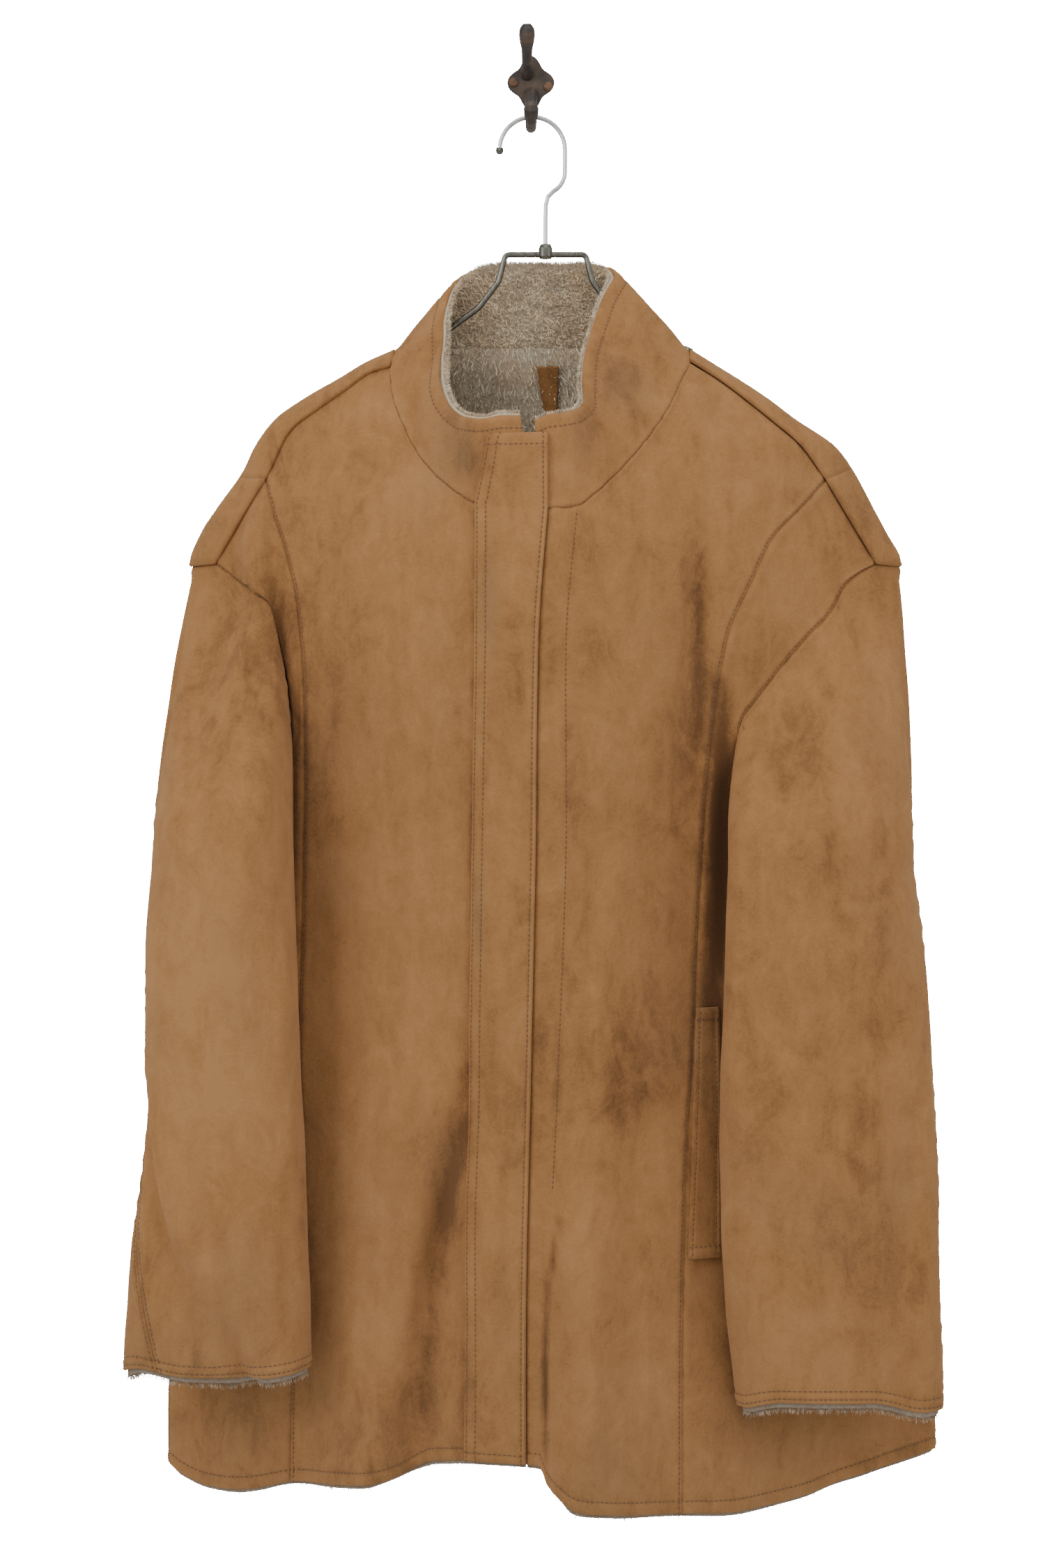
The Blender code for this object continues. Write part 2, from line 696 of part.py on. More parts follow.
# Rings of a sleeve: inner and outer edge from the coat's middle, depth of its middle from the wall,
# half its thickness, how far its outer edge is pulled back, and its twist in degrees
Ring = Row("Ring", "z inner outer y half back twist")
RIGHT_RINGS = [
    Ring(-0.600, 0.1305, 0.2680, -0.140, 0.030, 0.034, 0),
    Ring(-0.670, 0.1278, 0.2750, -0.145, 0.029, 0.022, 0),
    Ring(-0.745, 0.1245, 0.2784, -0.147, 0.028, 0.012, 0),
    Ring(-0.850, 0.1250, 0.2815, -0.148, 0.027, 0.006, 0),
    Ring(-0.910, 0.1275, 0.2825, -0.149, 0.027, 0.002, 0),
    Ring(-0.978, 0.1365, 0.2835, -0.150, 0.027, 0.000, 0),
]
LEFT_RINGS = [
    Ring(-0.600, 0.1825, 0.2870, -0.134, 0.037, 0.026, 0),
    Ring(-0.670, 0.1795, 0.2900, -0.137, 0.036, 0.014, 0),
    Ring(-0.745, 0.1762, 0.2895, -0.137, 0.035, 0.004, 0),
    Ring(-0.820, 0.1730, 0.2920, -0.137, 0.034, 0.000, 15),
    Ring(-0.880, 0.1710, 0.2995, -0.138, 0.032, 0.000, 42),
    Ring(-0.956, 0.1685, 0.3040, -0.138, 0.031, 0.000, 68),
]
# The cuff's edge, as a share of the way round from the outer edge over the front
Cuff = Row("Cuff", "share left right")
CUFFS = [
    Cuff(0.00, -0.0020, -0.0035),
    Cuff(0.12, 0.0030, -0.0045),
    Cuff(0.22, -0.0020, 0.0030),
    Cuff(0.33, -0.0030, 0.0035),
    Cuff(0.45, 0.0010, -0.0025),
    Cuff(0.60, 0.0020, -0.0020),
    Cuff(0.80, 0.0000, 0.0010),
    Cuff(1.00, -0.0020, -0.0035),
]
# Folds of a sleeve: the angle from its outer edge over the front, from the armhole (0) to the cuff (1)
SleeveFold = Row("SleeveFold", "side start end angle_start angle_end near far out")
SLEEVE_FOLDS = [
    SleeveFold(-1, 0.00, 0.42, 118, 95, 14, 26, 0.009),
    SleeveFold(-1, 0.55, 1.00, 8, 50, 22, 8, -0.008),
    SleeveFold(1, 0.10, 0.60, 120, 132, 16, 18, -0.006),
    SleeveFold(1, 0.55, 1.00, 45, 62, 16, 20, -0.006),
    SleeveFold(1, 0.30, 0.90, 80, 84, 30, 30, 0.004),
    SleeveFold(1, 0.15, 0.80, 230, 240, 25, 25, -0.005),
    SleeveFold(-1, 0.15, 0.80, 250, 240, 25, 25, -0.005),
]
CAP_ROWS = 5
RING_ROUND = 0.80  # 1 is an ellipse, and less is squarer
CAP_DROP = 0.3  # how much of the way in or out a sleeve's top keeps where it leaves the armhole
CAP_LIFT = 3 * SEAM_GAP
ARM_ROWS = (0.1, 0.2, 0.3, 0.4, 0.5, 0.6, 0.7, 0.79, 0.88, 0.95, 1.0)
CUFF_Z = {1: -0.978, -1: -0.956}
RINGS = {1: RIGHT_RINGS, -1: LEFT_RINGS}


def armhole_loop(side):
    """(point, normal) round the armhole: the tip, the strip, down the front, and up the back."""
    form = side_form(side)
    edge = -1 if side > 0 else 0
    loop = []
    for k in range(STRIP_ROWS):
        t = (k / STRIP_ROWS) ** 2
        loop.append(body(side * mix(RIDGE_END, CAP_END.x, t), mix(TIP, CAP_END.z, t), 1))
    first = len(LOW_ROWS) - 1
    front = list(zip(form.points[first:, edge], form.normals[first:, edge]))[::-1]
    loop += front
    for t in BACK_ROWS[:-1]:
        z = mix(UNDERARM, TIP, t)
        loop.append(body(side * back_armhole[side](z), z, -1))
    return loop, STRIP_ROWS + len(front) - 1


def ring_point(side, z, angle, cuff=False):
    """A point of a sleeve's ring. Its angle runs from the outer edge over the front."""
    rings = RINGS[side]
    inner, outer = (curve(rings, "z", n)(z) for n in ("inner", "outer"))
    y, half, back, twist = (curve(rings, "z", n)(z) for n in ("y", "half", "back", "twist"))
    turned = angle + math.radians(twist) * smooth_share(angle)
    width = (outer - inner) / 2
    across, deep = math.cos(turned), math.sin(turned)
    x = (inner + outer) / 2 + width * math.copysign(abs(across) ** RING_ROUND, across)
    y = y - half * math.copysign(abs(deep) ** RING_ROUND, deep)
    y += back * ((x - inner) / (outer - inner)) ** 2
    if cuff:
        share = (turned / (2 * math.pi)) % 1.0
        z += curve(CUFFS, "share", "right" if side > 0 else "left")(share)
    return np.array([MIDDLE + side * x, y, z])


def smooth_share(angle):
    """The twist is full at the outer edge and dies away at the inner one."""
    return 0.5 + 0.5 * math.cos(angle)


def sleeve_form(side):
    loop, under = armhole_loop(side)
    points = [p for p, _ in loop]
    inmost = min(range(under + 1), key=lambda i: side * points[i][0])
    anchors = [(0, 0.0), (inmost, math.pi), (under, under_angle(side, points[under])),
               (len(points), 2 * math.pi)]
    angles = []
    ring = points + [points[0]]
    for (a, start), (b, end) in zip(anchors, anchors[1:]):
        part = shares([tuple(p) for p in ring[a : b + 1]])
        angles += [mix(start, end, t) for t in part[:-1]]
    top_z = RINGS[side][0].z
    rows = [list(points)]
    for k in range(1, CAP_ROWS + 1):
        t = k / CAP_ROWS
        row = []
        for (p, n), angle in zip(loop, angles):
            goal = ring_point(side, top_z, angle)
            way = goal - p
            length = np.linalg.norm(way)
            dip = np.dot(way, n)
            # The top of the cap drops a little, and the underarm never dips into the body
            kept = CAP_DROP if angle <= math.pi else (1.0 if dip > 0 else 0.0)
            leave = way - n * dip * (1 - kept)
            leave = leave / np.linalg.norm(leave) * length
            land = np.array([0, 0, -length])
            row.append(hermite(p, leave, goal, land, t))
        rows.append(row)
    for t in ARM_ROWS:
        z = mix(top_z, CUFF_Z[side], t)
        rows.append([ring_point(side, z, a, cuff=t == 1.0) for a in angles])
    grid = np.array(rows)
    normals = ring_normals(grid, side)
    grid = grid + normals * sleeve_fold_out(side, len(rows), angles)[..., None]
    normals = ring_normals(grid, side)
    # At the armhole the sleeve's wall turns with the body's, or lies folded in front of it
    for i, (_, normal) in enumerate(loop):
        share = smooth(0.5 + 0.5 * np.dot(normals[0, i], normal))
        grid[0, i] += normal * CAP_LIFT * (1 - share)
        turned_normal = mix(normals[0, i], normal, share)
        normals[0, i] = turned_normal / np.linalg.norm(turned_normal)
    return Patch(grid, normals), angles


def under_angle(side, point):
    """The angle of a sleeve's top ring, on its back, that is level with the underarm."""
    top = RINGS[side][0]
    width = (top.outer - top.inner) / 2
    across = (side * (point[0] - MIDDLE) - (top.inner + top.outer) / 2) / width
    across = math.copysign(abs(across) ** (1 / RING_ROUND), across)
    return 2 * math.pi - math.acos(across)


def hermite(a, way_a, b, way_b, t):
    return (a * (1 + 2 * t) * (1 - t) ** 2 + b * t * t * (3 - 2 * t)
            + t * (1 - t) * ((1 - t) * way_a - t * way_b))


def ring_normals(grid, side):
    around = np.roll(grid, -1, axis=1) - np.roll(grid, 1, axis=1)
    down = np.gradient(grid, axis=0)
    normals = np.cross(around, down) * side
    return normals / np.linalg.norm(normals, axis=2, keepdims=True)


def sleeve_fold_out(side, rows, angles):
    out = np.zeros((rows, len(angles)))
    for fold in SLEEVE_FOLDS:
        if fold.side != side:
            continue
        for j in range(1, rows):
            t = (j / (rows - 1) - fold.start) / (fold.end - fold.start)
            if not 0 <= t <= 1.0001:
                continue
            centre = mix(fold.angle_start, fold.angle_end, t)
            fade = smooth(min(t * 5, 1)) * (1 if fold.end >= 1 else smooth(min((1 - t) * 5, 1)))
            for i, angle in enumerate(angles):
                away = (math.degrees(angle) - centre + 180) % 360 - 180
                width = fold.near if away < 0 else fold.far
                out[j, i] += fold.out * fade * math.exp(-((away / width) ** 2))
    return out


SLEEVE_SEAMS = {1: (350, 215), -1: (352, 215)}  # back seam and inner seam, in degrees


def sleeve_split(side, angles):
    """The columns of the back seam and of the inner seam."""
    degrees = [math.degrees(a) for a in angles]
    return [min(range(len(degrees)), key=lambda i: abs(degrees[i] - at))
            for at in SLEEVE_SEAMS[side]]


def make_sleeves(suede):
    for side, word in SIDES:
        form, angles = sleeve_form(side)
        back, inner = sleeve_split(side, angles)
        count = len(angles)
        top = [(back + i) % count for i in range((inner - back) % count + 1)]
        under = [(inner + i) % count for i in range((back - inner) % count + 1)]
        for name, columns in (("top_sleeve", top), ("under_sleeve", under)):
            part = Patch(form.points[:, columns], form.normals[:, columns])
            if side < 0:
                part = Patch(part.points[:, ::-1], part.normals[:, ::-1])
            part = Patch(part.points[::-1], part.normals[::-1])
            part = facing_out(part)
            cloth(f"{name}_{word}", part, suede, seams="top left right")


def facing_out(form):
    """The patch with its columns in the order that makes its faces point along its normals."""
    p = form.points
    face = np.cross(p[0, 1] - p[0, 0], p[1, 0] - p[0, 0])
    if np.dot(face, form.normals[0, 0]) > 0:
        return form
    return Patch(p[:, ::-1], form.normals[:, ::-1])


def edge_band(form, down):
    """A band along a patch's first two rows, and on past the first one by down."""
    way = form.points[0] - form.points[1]
    below = form.points[0] + way / np.linalg.norm(way, axis=1, keepdims=True) * down
    return Patch(np.array([below, *form.points[:2]]),
                 np.array([form.normals[0], *form.normals[:2]]))


def make_cuff_fur(fur):
    """A band of fur inside each cuff, which stands a little below the suede."""
    for side, word in SIDES:
        form, _ = sleeve_form(side)
        form = Patch(form.points[::-1], form.normals[::-1])
        part = facing_out(edge_band(form, CUFF_FUR_DOWN))
        cloth(f"cuff_fur_{word}", part, fur, EDGE_PILE, INSIDE, seams="", closed=True)


# ---------------------------------------------------------------- collar

COLLAR_HEIGHTS = (0.0, 0.08, 0.30, 0.54, 0.78, 1.0)
NECK_TURN = 0.75  # how far the collar's foot turns with the body's form
COLLAR_LIFT = 1.5 * SEAM_GAP


def collar_form():
    """The collar between the neck seam and its edge."""
    base = [body(n.x, n.z, n.face) for n in NECK]
    low = np.array([p for p, _ in base])
    low_normals = np.array([n for _, n in base])
    high = np.array([[MIDDLE + n.edge_x, n.edge_y, n.edge_z] for n in NECK])
    out = np.cross(np.gradient(low, axis=0), high - low)
    out /= np.linalg.norm(out, axis=1, keepdims=True)
    grid = [mix(low, high, h) + out * COLLAR_BULGE * 4 * h * (1 - h) for h in COLLAR_HEIGHTS]
    grid = np.array(grid)
    normals = np.cross(np.gradient(grid, axis=1), np.gradient(grid, axis=0))
    normals /= np.linalg.norm(normals, axis=2, keepdims=True)
    shared = mix(normals[0], low_normals, NECK_TURN)
    normals[0] = shared / np.linalg.norm(shared, axis=1, keepdims=True)
    up = grid[1] - grid[0]
    grid[0] += up / np.linalg.norm(up, axis=1, keepdims=True) * COLLAR_LIFT
    return Patch(grid, normals)


def make_collar(suede, fur):
    form = collar_form()
    cloth("collar", form, suede, seams="")
    way = form.points[-1] - form.points[-2]
    way /= np.linalg.norm(way, axis=1, keepdims=True)
    points = np.array([*form.points[1:], form.points[-1] + way * RIM_FUR])
    normals = np.array([*form.normals[1:], form.normals[-1]])
    # The hanger's wire presses the fur flat where it passes
    pile = np.full((len(NECK), 1), PILE)
    pile[[RIGHT_SIDE, RIGHT_RIDGE, LEFT_RIDGE, LEFT_SIDE]] = PRESSED_PILE
    cloth("collar_fur", Patch(points, normals), fur, pile, INSIDE, seams="")


# The bare tab: height, and its left and right edges
TAB = ((-0.260, 0.0008, 0.0080), (-0.240, -0.0030, 0.0090), (-0.221, -0.0061, 0.0096))
TAB_THICK = 1.5 * MM


def make_neck_fur(fur, suede):
    """Fur on the inside of the back, below the neck seam, and the bare tab sewn on it."""
    form = back_form()
    keep = (slice(-6, -1), slice(4, -4))
    part = facing_out(Patch(form.points[keep], form.normals[keep]))
    cloth("back_neck_fur", part, fur, PILE, INSIDE, seams="")
    middle = form.points.shape[1] // 2
    rows = []
    for z, left, right in TAB:
        xs = [mix(left, right, share) for share in (0, 0.5, 1)]
        rows.append([on_patch(form, (middle - 1, middle), x, z) for x in xs])
    tab = facing_out(patch(rows))
    cloth("back_neck_tab", tab, suede, TAB_THICK, INSIDE - PILE - SEAM_GAP, seams="")


# ---------------------------------------------------------------- flap, welt, hem


# How far the flap's free edge turns in at each of the collar's rows, and how far up the last it goes
FLAP_TURN_INS = (0.05, 0.14, 0.26, 0.38, 0.46)
FLAP_TOP_SHARE = 0.27


def make_flap(suede):
    """The placket flap lies over the closing, from near the hem up over the collar's left end."""
    _, under = left_front_forms()
    right = right_front_form()
    collar = collar_form()
    points = np.concatenate([under.points, right.points[:, :1]], axis=1)
    normals = np.concatenate([under.normals, right.normals[:, :1]], axis=1)
    points[0] = mix(points[0], points[1], 0.02)
    rows = list(zip(points[:-1], normals[:-1]))
    # Above the neck seam the flap lies on the collar: its left end, and the corner of its right end
    stations = list(range(FLAP_STATION, len(NECK))) + [0]
    for row, turn_in in enumerate(FLAP_TURN_INS, start=1):
        place, normal = collar.points[row, stations], collar.normals[row, stations]
        if row == len(FLAP_TURN_INS):
            place = mix(collar.points[row - 1, stations], place, FLAP_TOP_SHARE)
            normal = mix(collar.normals[row - 1, stations], normal, FLAP_TOP_SHARE)
        place[0] = mix(place[0], place[1], turn_in)
        rows.append((place, normal))
    form = Patch(np.array([p for p, _ in rows]), np.array([n for _, n in rows]))
    cloth("placket_flap", form, suede, FLAP_THICK, SEAM_GAP + FLAP_THICK, seams="")


Welt = Row("Welt", "z left right")
WELT = [Welt(-0.8790, 0.1014, 0.1257), Welt(-0.7000, 0.1090, 0.1252)]


def on_patch(form, columns, x, z):
    """(point, normal) on the flat faces between two columns of a front patch, at x and z."""
    a, b = columns
    share = 0.5
    for _ in range(8):
        line = mix(form.points[:, a], form.points[:, b], share)
        row = int(np.searchsorted(line[:, 2], z)) - 1
        t = (z - line[row, 2]) / (line[row + 1, 2] - line[row, 2])
        left = mix(form.points[row, a], form.points[row + 1, a], t)
        right = mix(form.points[row, b], form.points[row + 1, b], t)
        share = (MIDDLE + x - left[0]) / (right[0] - left[0])
    normal = mix(mix(form.normals[row, a], form.normals[row + 1, a], t),
                 mix(form.normals[row, b], form.normals[row + 1, b], t), share)
    return mix(left, right, share), normal


def make_welt(suede):
    """The pocket's welt lies on the right side front, beside the princess seam."""
    form = side_form(1)
    low, high = WELT
    inner_rows = [z for z in form.points[:, 0, 2] if low.z + 0.004 < z < high.z - 0.004]
    rows = []
    for z in [low.z, *inner_rows, high.z]:
        t = (z - low.z) / (high.z - low.z)
        left, right = mix(low.left, high.left, t), mix(low.right, high.right, t)
        rows.append([on_patch(form, (0, 1), mix(left, right, s), z) for s in (0, 0.5, 1)])
    cloth("pocket_welt", patch(rows), suede, WELT_THICK, WELT_LAP + WELT_THICK, seams="")


def make_hem_fur(fur):
    """Fur that stands below the hem, inside it, from one front edge round the back to the other."""
    around = [right_front_form(), side_form(1)]
    back = [side_back_parts(1)[0], back_form(), side_back_parts(-1)[0]]
    around += [Patch(f.points[:, ::-1], f.normals[:, ::-1]) for f in back]
    around += [side_form(-1), side_by_side(*left_front_forms())]
    whole = around[0]
    for part in around[1:]:
        whole = side_by_side(whole, part)
    cloth("hem_fur", edge_band(whole, HEM_FUR_DOWN), fur, EDGE_PILE, INSIDE, seams="")


# ---------------------------------------------------------------- hanger and wall hook


def wire(name, path, thickness, finish, closed=False, sides=3):
    """A round wire through a smooth list of points."""
    data = bpy.data.curves.new(name, "CURVE")
    data.dimensions = "3D"
    data.bevel_depth = thickness / 2
    data.bevel_resolution = sides
    data.use_fill_caps = not closed
    spline = data.splines.new("POLY")
    spline.points.add(len(path) - 1)
    for point, place in zip(spline.points, path):
        point.co = (*place, 1)
    spline.use_cyclic_u = closed
    data.materials.append(finish)
    made = bpy.data.objects.new(name, data)
    bpy.context.scene.collection.objects.link(made)
    return made


def arc(centre, radius, start, end, steps):
    """Points in the hanger's plane round a centre, angles in degrees from +X towards +Z."""
    angles = np.radians(np.linspace(start, end, steps))
    return [(centre[0] + radius * math.cos(a), HANG, centre[1] + radius * math.sin(a))
            for a in angles]


HOOK_RADIUS = 24.3 * MM
HOOK_CENTRE = (MIDDLE - 0.0098, -0.0656)
FERRULE_TOP = -0.1362
FERRULE_LOW = -0.1465
BAR_Z = -0.1437


def rounded_path(corners, closed=False, steps=7):
    """Points along straight runs whose corners are rounded. corners holds (x, z, radius)."""
    path = []
    count = len(corners)
    for i, (x, z, radius) in enumerate(corners):
        if radius == 0:
            path.append((x, z))
            continue
        here = np.array([x, z])
        before = np.array(corners[i - 1][:2]) - here
        after = np.array(corners[(i + 1) % count][:2]) - here
        before, after = (v / np.linalg.norm(v) for v in (before, after))
        half = math.acos(float(np.clip(np.dot(before, after), -1, 1))) / 2
        reach = radius / math.tan(half)
        middle = (before + after) / np.linalg.norm(before + after)
        centre = here + middle * radius / math.sin(half)
        start, end = here + before * reach - centre, here + after * reach - centre
        a0 = math.atan2(start[1], start[0])
        turn = (math.atan2(end[1], end[0]) - a0 + math.pi) % (2 * math.pi) - math.pi
        for k in range(steps + 1):
            a = a0 + turn * k / steps
            path.append(tuple(centre + radius * np.array([math.cos(a), math.sin(a)])))
    return path


# Half of the frame's corners, x from its middle
Corner = Row("Corner", "x z radius")
FRAME_CORNERS = [
    Corner(0.0298, BAR_Z, 0.004),
    Corner(0.0350, -0.1640, 0.015),
    Corner(0.0500, -0.1835, 0.020),
    Corner(0.1050, -0.2232, 0.060),
    Corner(0.2010, -0.2885, 0.005),
    Corner(0.1970, -0.3020, 0.006),
]
SHANK_RADIUS = 16.5 * MM  # the hook's wire turns in towards the ferrule with it
Turn = Row("Turn", "radius height")
AXIS = 0.2 * MM  # turned outlines start this far from their axis
FERRULE = [
    Turn(AXIS, FERRULE_LOW),
    Turn(0.0046, FERRULE_LOW),
    Turn(0.0052, FERRULE_LOW + 0.0012),
    Turn(0.0052, FERRULE_TOP - 0.0030),
    Turn(0.0040, FERRULE_TOP),
    Turn(AXIS, FERRULE_TOP),
]
HOOK_BALL = [
    Turn(AXIS, -0.0031),
    Turn(0.0022, -0.0024),
    Turn(0.0031, 0.0),
    Turn(0.0024, 0.0020),
    Turn(AXIS, 0.0028),
]


def rod(name, radius, half_length, finish, steps):
    """A plain round rod along Z, about its middle."""
    ends = [Turn(AXIS, -half_length), Turn(radius, -half_length), Turn(radius, half_length),
            Turn(AXIS, half_length)]
    return turned(name, ends, (0, 0, 0), finish, steps)


def make_hanger(steel):
    half = [tuple(corner) for corner in FRAME_CORNERS]
    corners = half + [(-x, z, r) for x, z, r in reversed(half)]
    path = [(MIDDLE + x, HANG, z) for x, z in rounded_path(corners, closed=True)]
    wire("hanger_frame", path, FRAME_WIRE, steel, closed=True)
    x, z = HOOK_CENTRE
    right = x + HOOK_RADIUS
    hook = arc(HOOK_CENTRE, HOOK_RADIUS, 174, 0, 19)
    hook += [(right, HANG, z - SHANK_RADIUS / 2)]
    hook += arc((right - SHANK_RADIUS, z - SHANK_RADIUS), SHANK_RADIUS, -5, -62, 6)
    hook += [(MIDDLE + 0.0018, HANG, -0.1008), (MIDDLE + 0.0002, HANG, -0.1070),
             (MIDDLE, HANG, -0.1180), (MIDDLE, HANG, FERRULE_TOP + SEAM_GAP)]
    wire("hanger_hook", hook, HOOK_WIRE, steel)
    turned("hanger_hook_ball", HOOK_BALL, (x - HOOK_RADIUS, HANG, z - 2 * SEAM_GAP), steel, 16)
    # The ferrule is bored for the frame's bar, so the bar passes through it
    ferrule = turned("hanger_ferrule", FERRULE, (MIDDLE, HANG, 0), steel, 20)
    bore = rod("ferrule_bore", FRAME_WIRE / 2 + SEAM_GAP, 0.02, steel, 12)
    bore.rotation_euler = (0, math.radians(90), 0)
    bore.location = (MIDDLE, HANG, BAR_Z)
    cut(ferrule, bore)


def turned(name, profile, place, finish, steps):
    """A turned piece round Z: profile holds (radius, height) from its foot to its head."""
    points, faces = [], []
    for radius, height in profile:
        for k in range(steps):
            a = 2 * math.pi * k / steps
            points.append((radius * math.cos(a), radius * math.sin(a), height))
    faces += grid_faces(len(profile), steps, closed=True)
    faces.append(tuple(reversed(range(steps))))
    faces.append(tuple(range((len(profile) - 1) * steps, len(profile) * steps)))
    made = add(name, points, faces, finish)
    made.location = place
    return made


def cut(piece, cutter):
    cutter.hide_render = True
    cutter.display_type = "WIRE"
    modifier = piece.modifiers.new("bore", "BOOLEAN")
    modifier.operation = "DIFFERENCE"
    modifier.object = cutter


def join(piece, other):
    other.hide_render = True
    other.display_type = "WIRE"
    modifier = piece.modifiers.new("cast", "BOOLEAN")
    modifier.operation = "UNION"
    modifier.object = other


PLATE_HALF = (0.0156, 0.0178)  # across and up, between the lobes and the waists
LOBE_DEPTH = 0.16
PLATE_Z = -0.001
PLATE_STEPS = 48


def lobed_plate(name, finish):
    """The cast plate: four round lobes round a waisted middle."""
    outline = []
    for k in range(PLATE_STEPS):
        a = 2 * math.pi * k / PLATE_STEPS
        lobe = 1 + LOBE_DEPTH * math.cos(4 * a)
        outline.append((PLATE_HALF[0] * lobe * math.cos(a), PLATE_HALF[1] * lobe * math.sin(a)))
    points = []
    for y, grow in ((0.0, 1.0), (-PLATE_THICK * 0.7, 1.0), (-PLATE_THICK, 0.93)):
        points += [(x * grow, y, z * grow + PLATE_Z) for x, z in outline]
    faces = grid_faces(3, PLATE_STEPS, closed=True)
    faces.append(tuple(reversed(range(PLATE_STEPS))))
    faces.append(tuple(range(2 * PLATE_STEPS, 3 * PLATE_STEPS)))
    return add(name, points, faces, finish)


SCREW_X = 0.0133
SCREW_Z = {1: -0.0044, -1: -0.0012}


# The two cast arms, from the plate to their round ends
Arm = Row("Arm", "y z radius")
UPPER_ARM = [
    Arm(-0.0010, 0.0045, 0.0050),
    Arm(-0.0050, 0.0049, 0.0047),
    Arm(-0.0180, 0.0110, 0.0040),
    Arm(-0.0240, 0.0190, 0.0042),
    Arm(-0.0270, 0.0245, 0.0056),
    Arm(-0.0290, 0.0290, 0.0062),
    Arm(-0.0305, 0.0335, 0.0056),
    Arm(-0.0315, 0.0368, 0.0030),
]
UPPER_ARM_X = -0.0030
LOWER_ARM = [
    Arm(-0.0010, -0.0100, 0.0056),
    Arm(-0.0050, -0.0105, 0.0053),
    Arm(-0.0120, -0.0180, 0.0048),
    Arm(-0.0260, -0.0330, 0.0044),
    Arm(-0.0400, -0.0430, 0.0042),
    Arm(-0.0560, -0.0472, 0.0041),
    Arm(-0.0680, -0.0474, 0.0041),
    Arm(-0.0760, -0.0455, 0.0044),
    Arm(-0.0810, -0.0425, 0.0054),
    Arm(-0.0835, -0.0395, 0.0056),
    Arm(-0.0850, -0.0362, 0.0046),
    Arm(-0.0858, -0.0345, 0.0024),
]
SCREW_RADIUS = 1.8 * MM
SCREW_HEAD = [
    Turn(AXIS, SEAM_GAP),
    Turn(SCREW_RADIUS, SEAM_GAP),
    Turn(SCREW_RADIUS, PLATE_THICK + SEAM_GAP),
    Turn(0.0036, PLATE_THICK + SEAM_GAP),
    Turn(0.0034, PLATE_THICK + 0.0012),
    Turn(0.0022, PLATE_THICK + 0.0020),
    Turn(AXIS, PLATE_THICK + 0.0022),
]


def tapered(name, rows, finish, steps=12):
    """A round arm through the rows, closed at both ends."""
    points = []
    path = [np.array(row) for row in rows]
    for i, row in enumerate(path):
        before, after = path[max(i - 1, 0)], path[min(i + 1, len(path) - 1)]
        way = (after - before)[:2]
        way /= np.linalg.norm(way)
        for k in range(steps):
            a = 2 * math.pi * k / steps
            side, up = math.cos(a) * row[2], math.sin(a) * row[2]
            points.append((side, row[0] + up * -way[1], row[1] + up * way[0]))
    faces = grid_faces(len(path), steps, closed=True)
    faces.append(tuple(reversed(range(steps))))
    faces.append(tuple(range((len(path) - 1) * steps, len(path) * steps)))
    return add(name, points, faces, finish)


def make_wall_hook(iron, browned):
    plate = lobed_plate("wall_hook", iron)
    upper = tapered("upper_arm", UPPER_ARM, iron)
    upper.location.x = UPPER_ARM_X
    lower = tapered("lower_arm", LOWER_ARM, iron)
    join(plate, upper)
    join(plate, lower)
    for side, word in SIDES:
        place = (side * SCREW_X, 0.0, SCREW_Z[side])
        bore = rod(f"screw_bore_{word}", SCREW_RADIUS + SEAM_GAP, 0.01, iron, 16)
        bore.rotation_euler = (math.radians(90), 0, 0)
        bore.location = place
        cut(plate, bore)
        screw = turned(f"wall_screw_{word}", SCREW_HEAD, (0, 0, 0), browned, 20)
        screw.rotation_euler = (math.radians(90), 0, 0)
        screw.location = place


def main():
    for old in list(bpy.data.objects):
        bpy.data.objects.remove(old)
    suede = material("suede", (0.33, 0.165, 0.065), 0.9)
    fur = material("fur", (0.30, 0.25, 0.19), 1.0)
    steel = material("brushed_steel", (0.62, 0.62, 0.62), 0.3, 1.0)
    iron = material("cast_iron", (0.035, 0.032, 0.030), 0.55, 0.6)
    browned = material("browned_steel", (0.20, 0.12, 0.07), 0.5, 0.8)
    make_fronts(suede)
    make_sides(suede)
    make_backs(suede)
    make_sleeves(suede)
    make_cuff_fur(fur)
    make_collar(suede, fur)
    make_neck_fur(fur, suede)
    make_flap(suede)
    make_welt(suede)
    make_hem_fur(fur)
    make_hanger(steel)
    make_wall_hook(iron, browned)


main()
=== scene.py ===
# %% [markdown]
# # A faux shearling coat on a wire hanger
#
# The coat is made of bonded cloth: a napped faux suede outside and a faux fur inside. It hangs on a
# wire hanger, and the hanger hangs on a small cast iron wall hook. This script gives each piece its
# surface: the cloth's folds and creases, the topstitching, the nap and the fur.

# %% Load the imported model
import json
import math
from collections import namedtuple

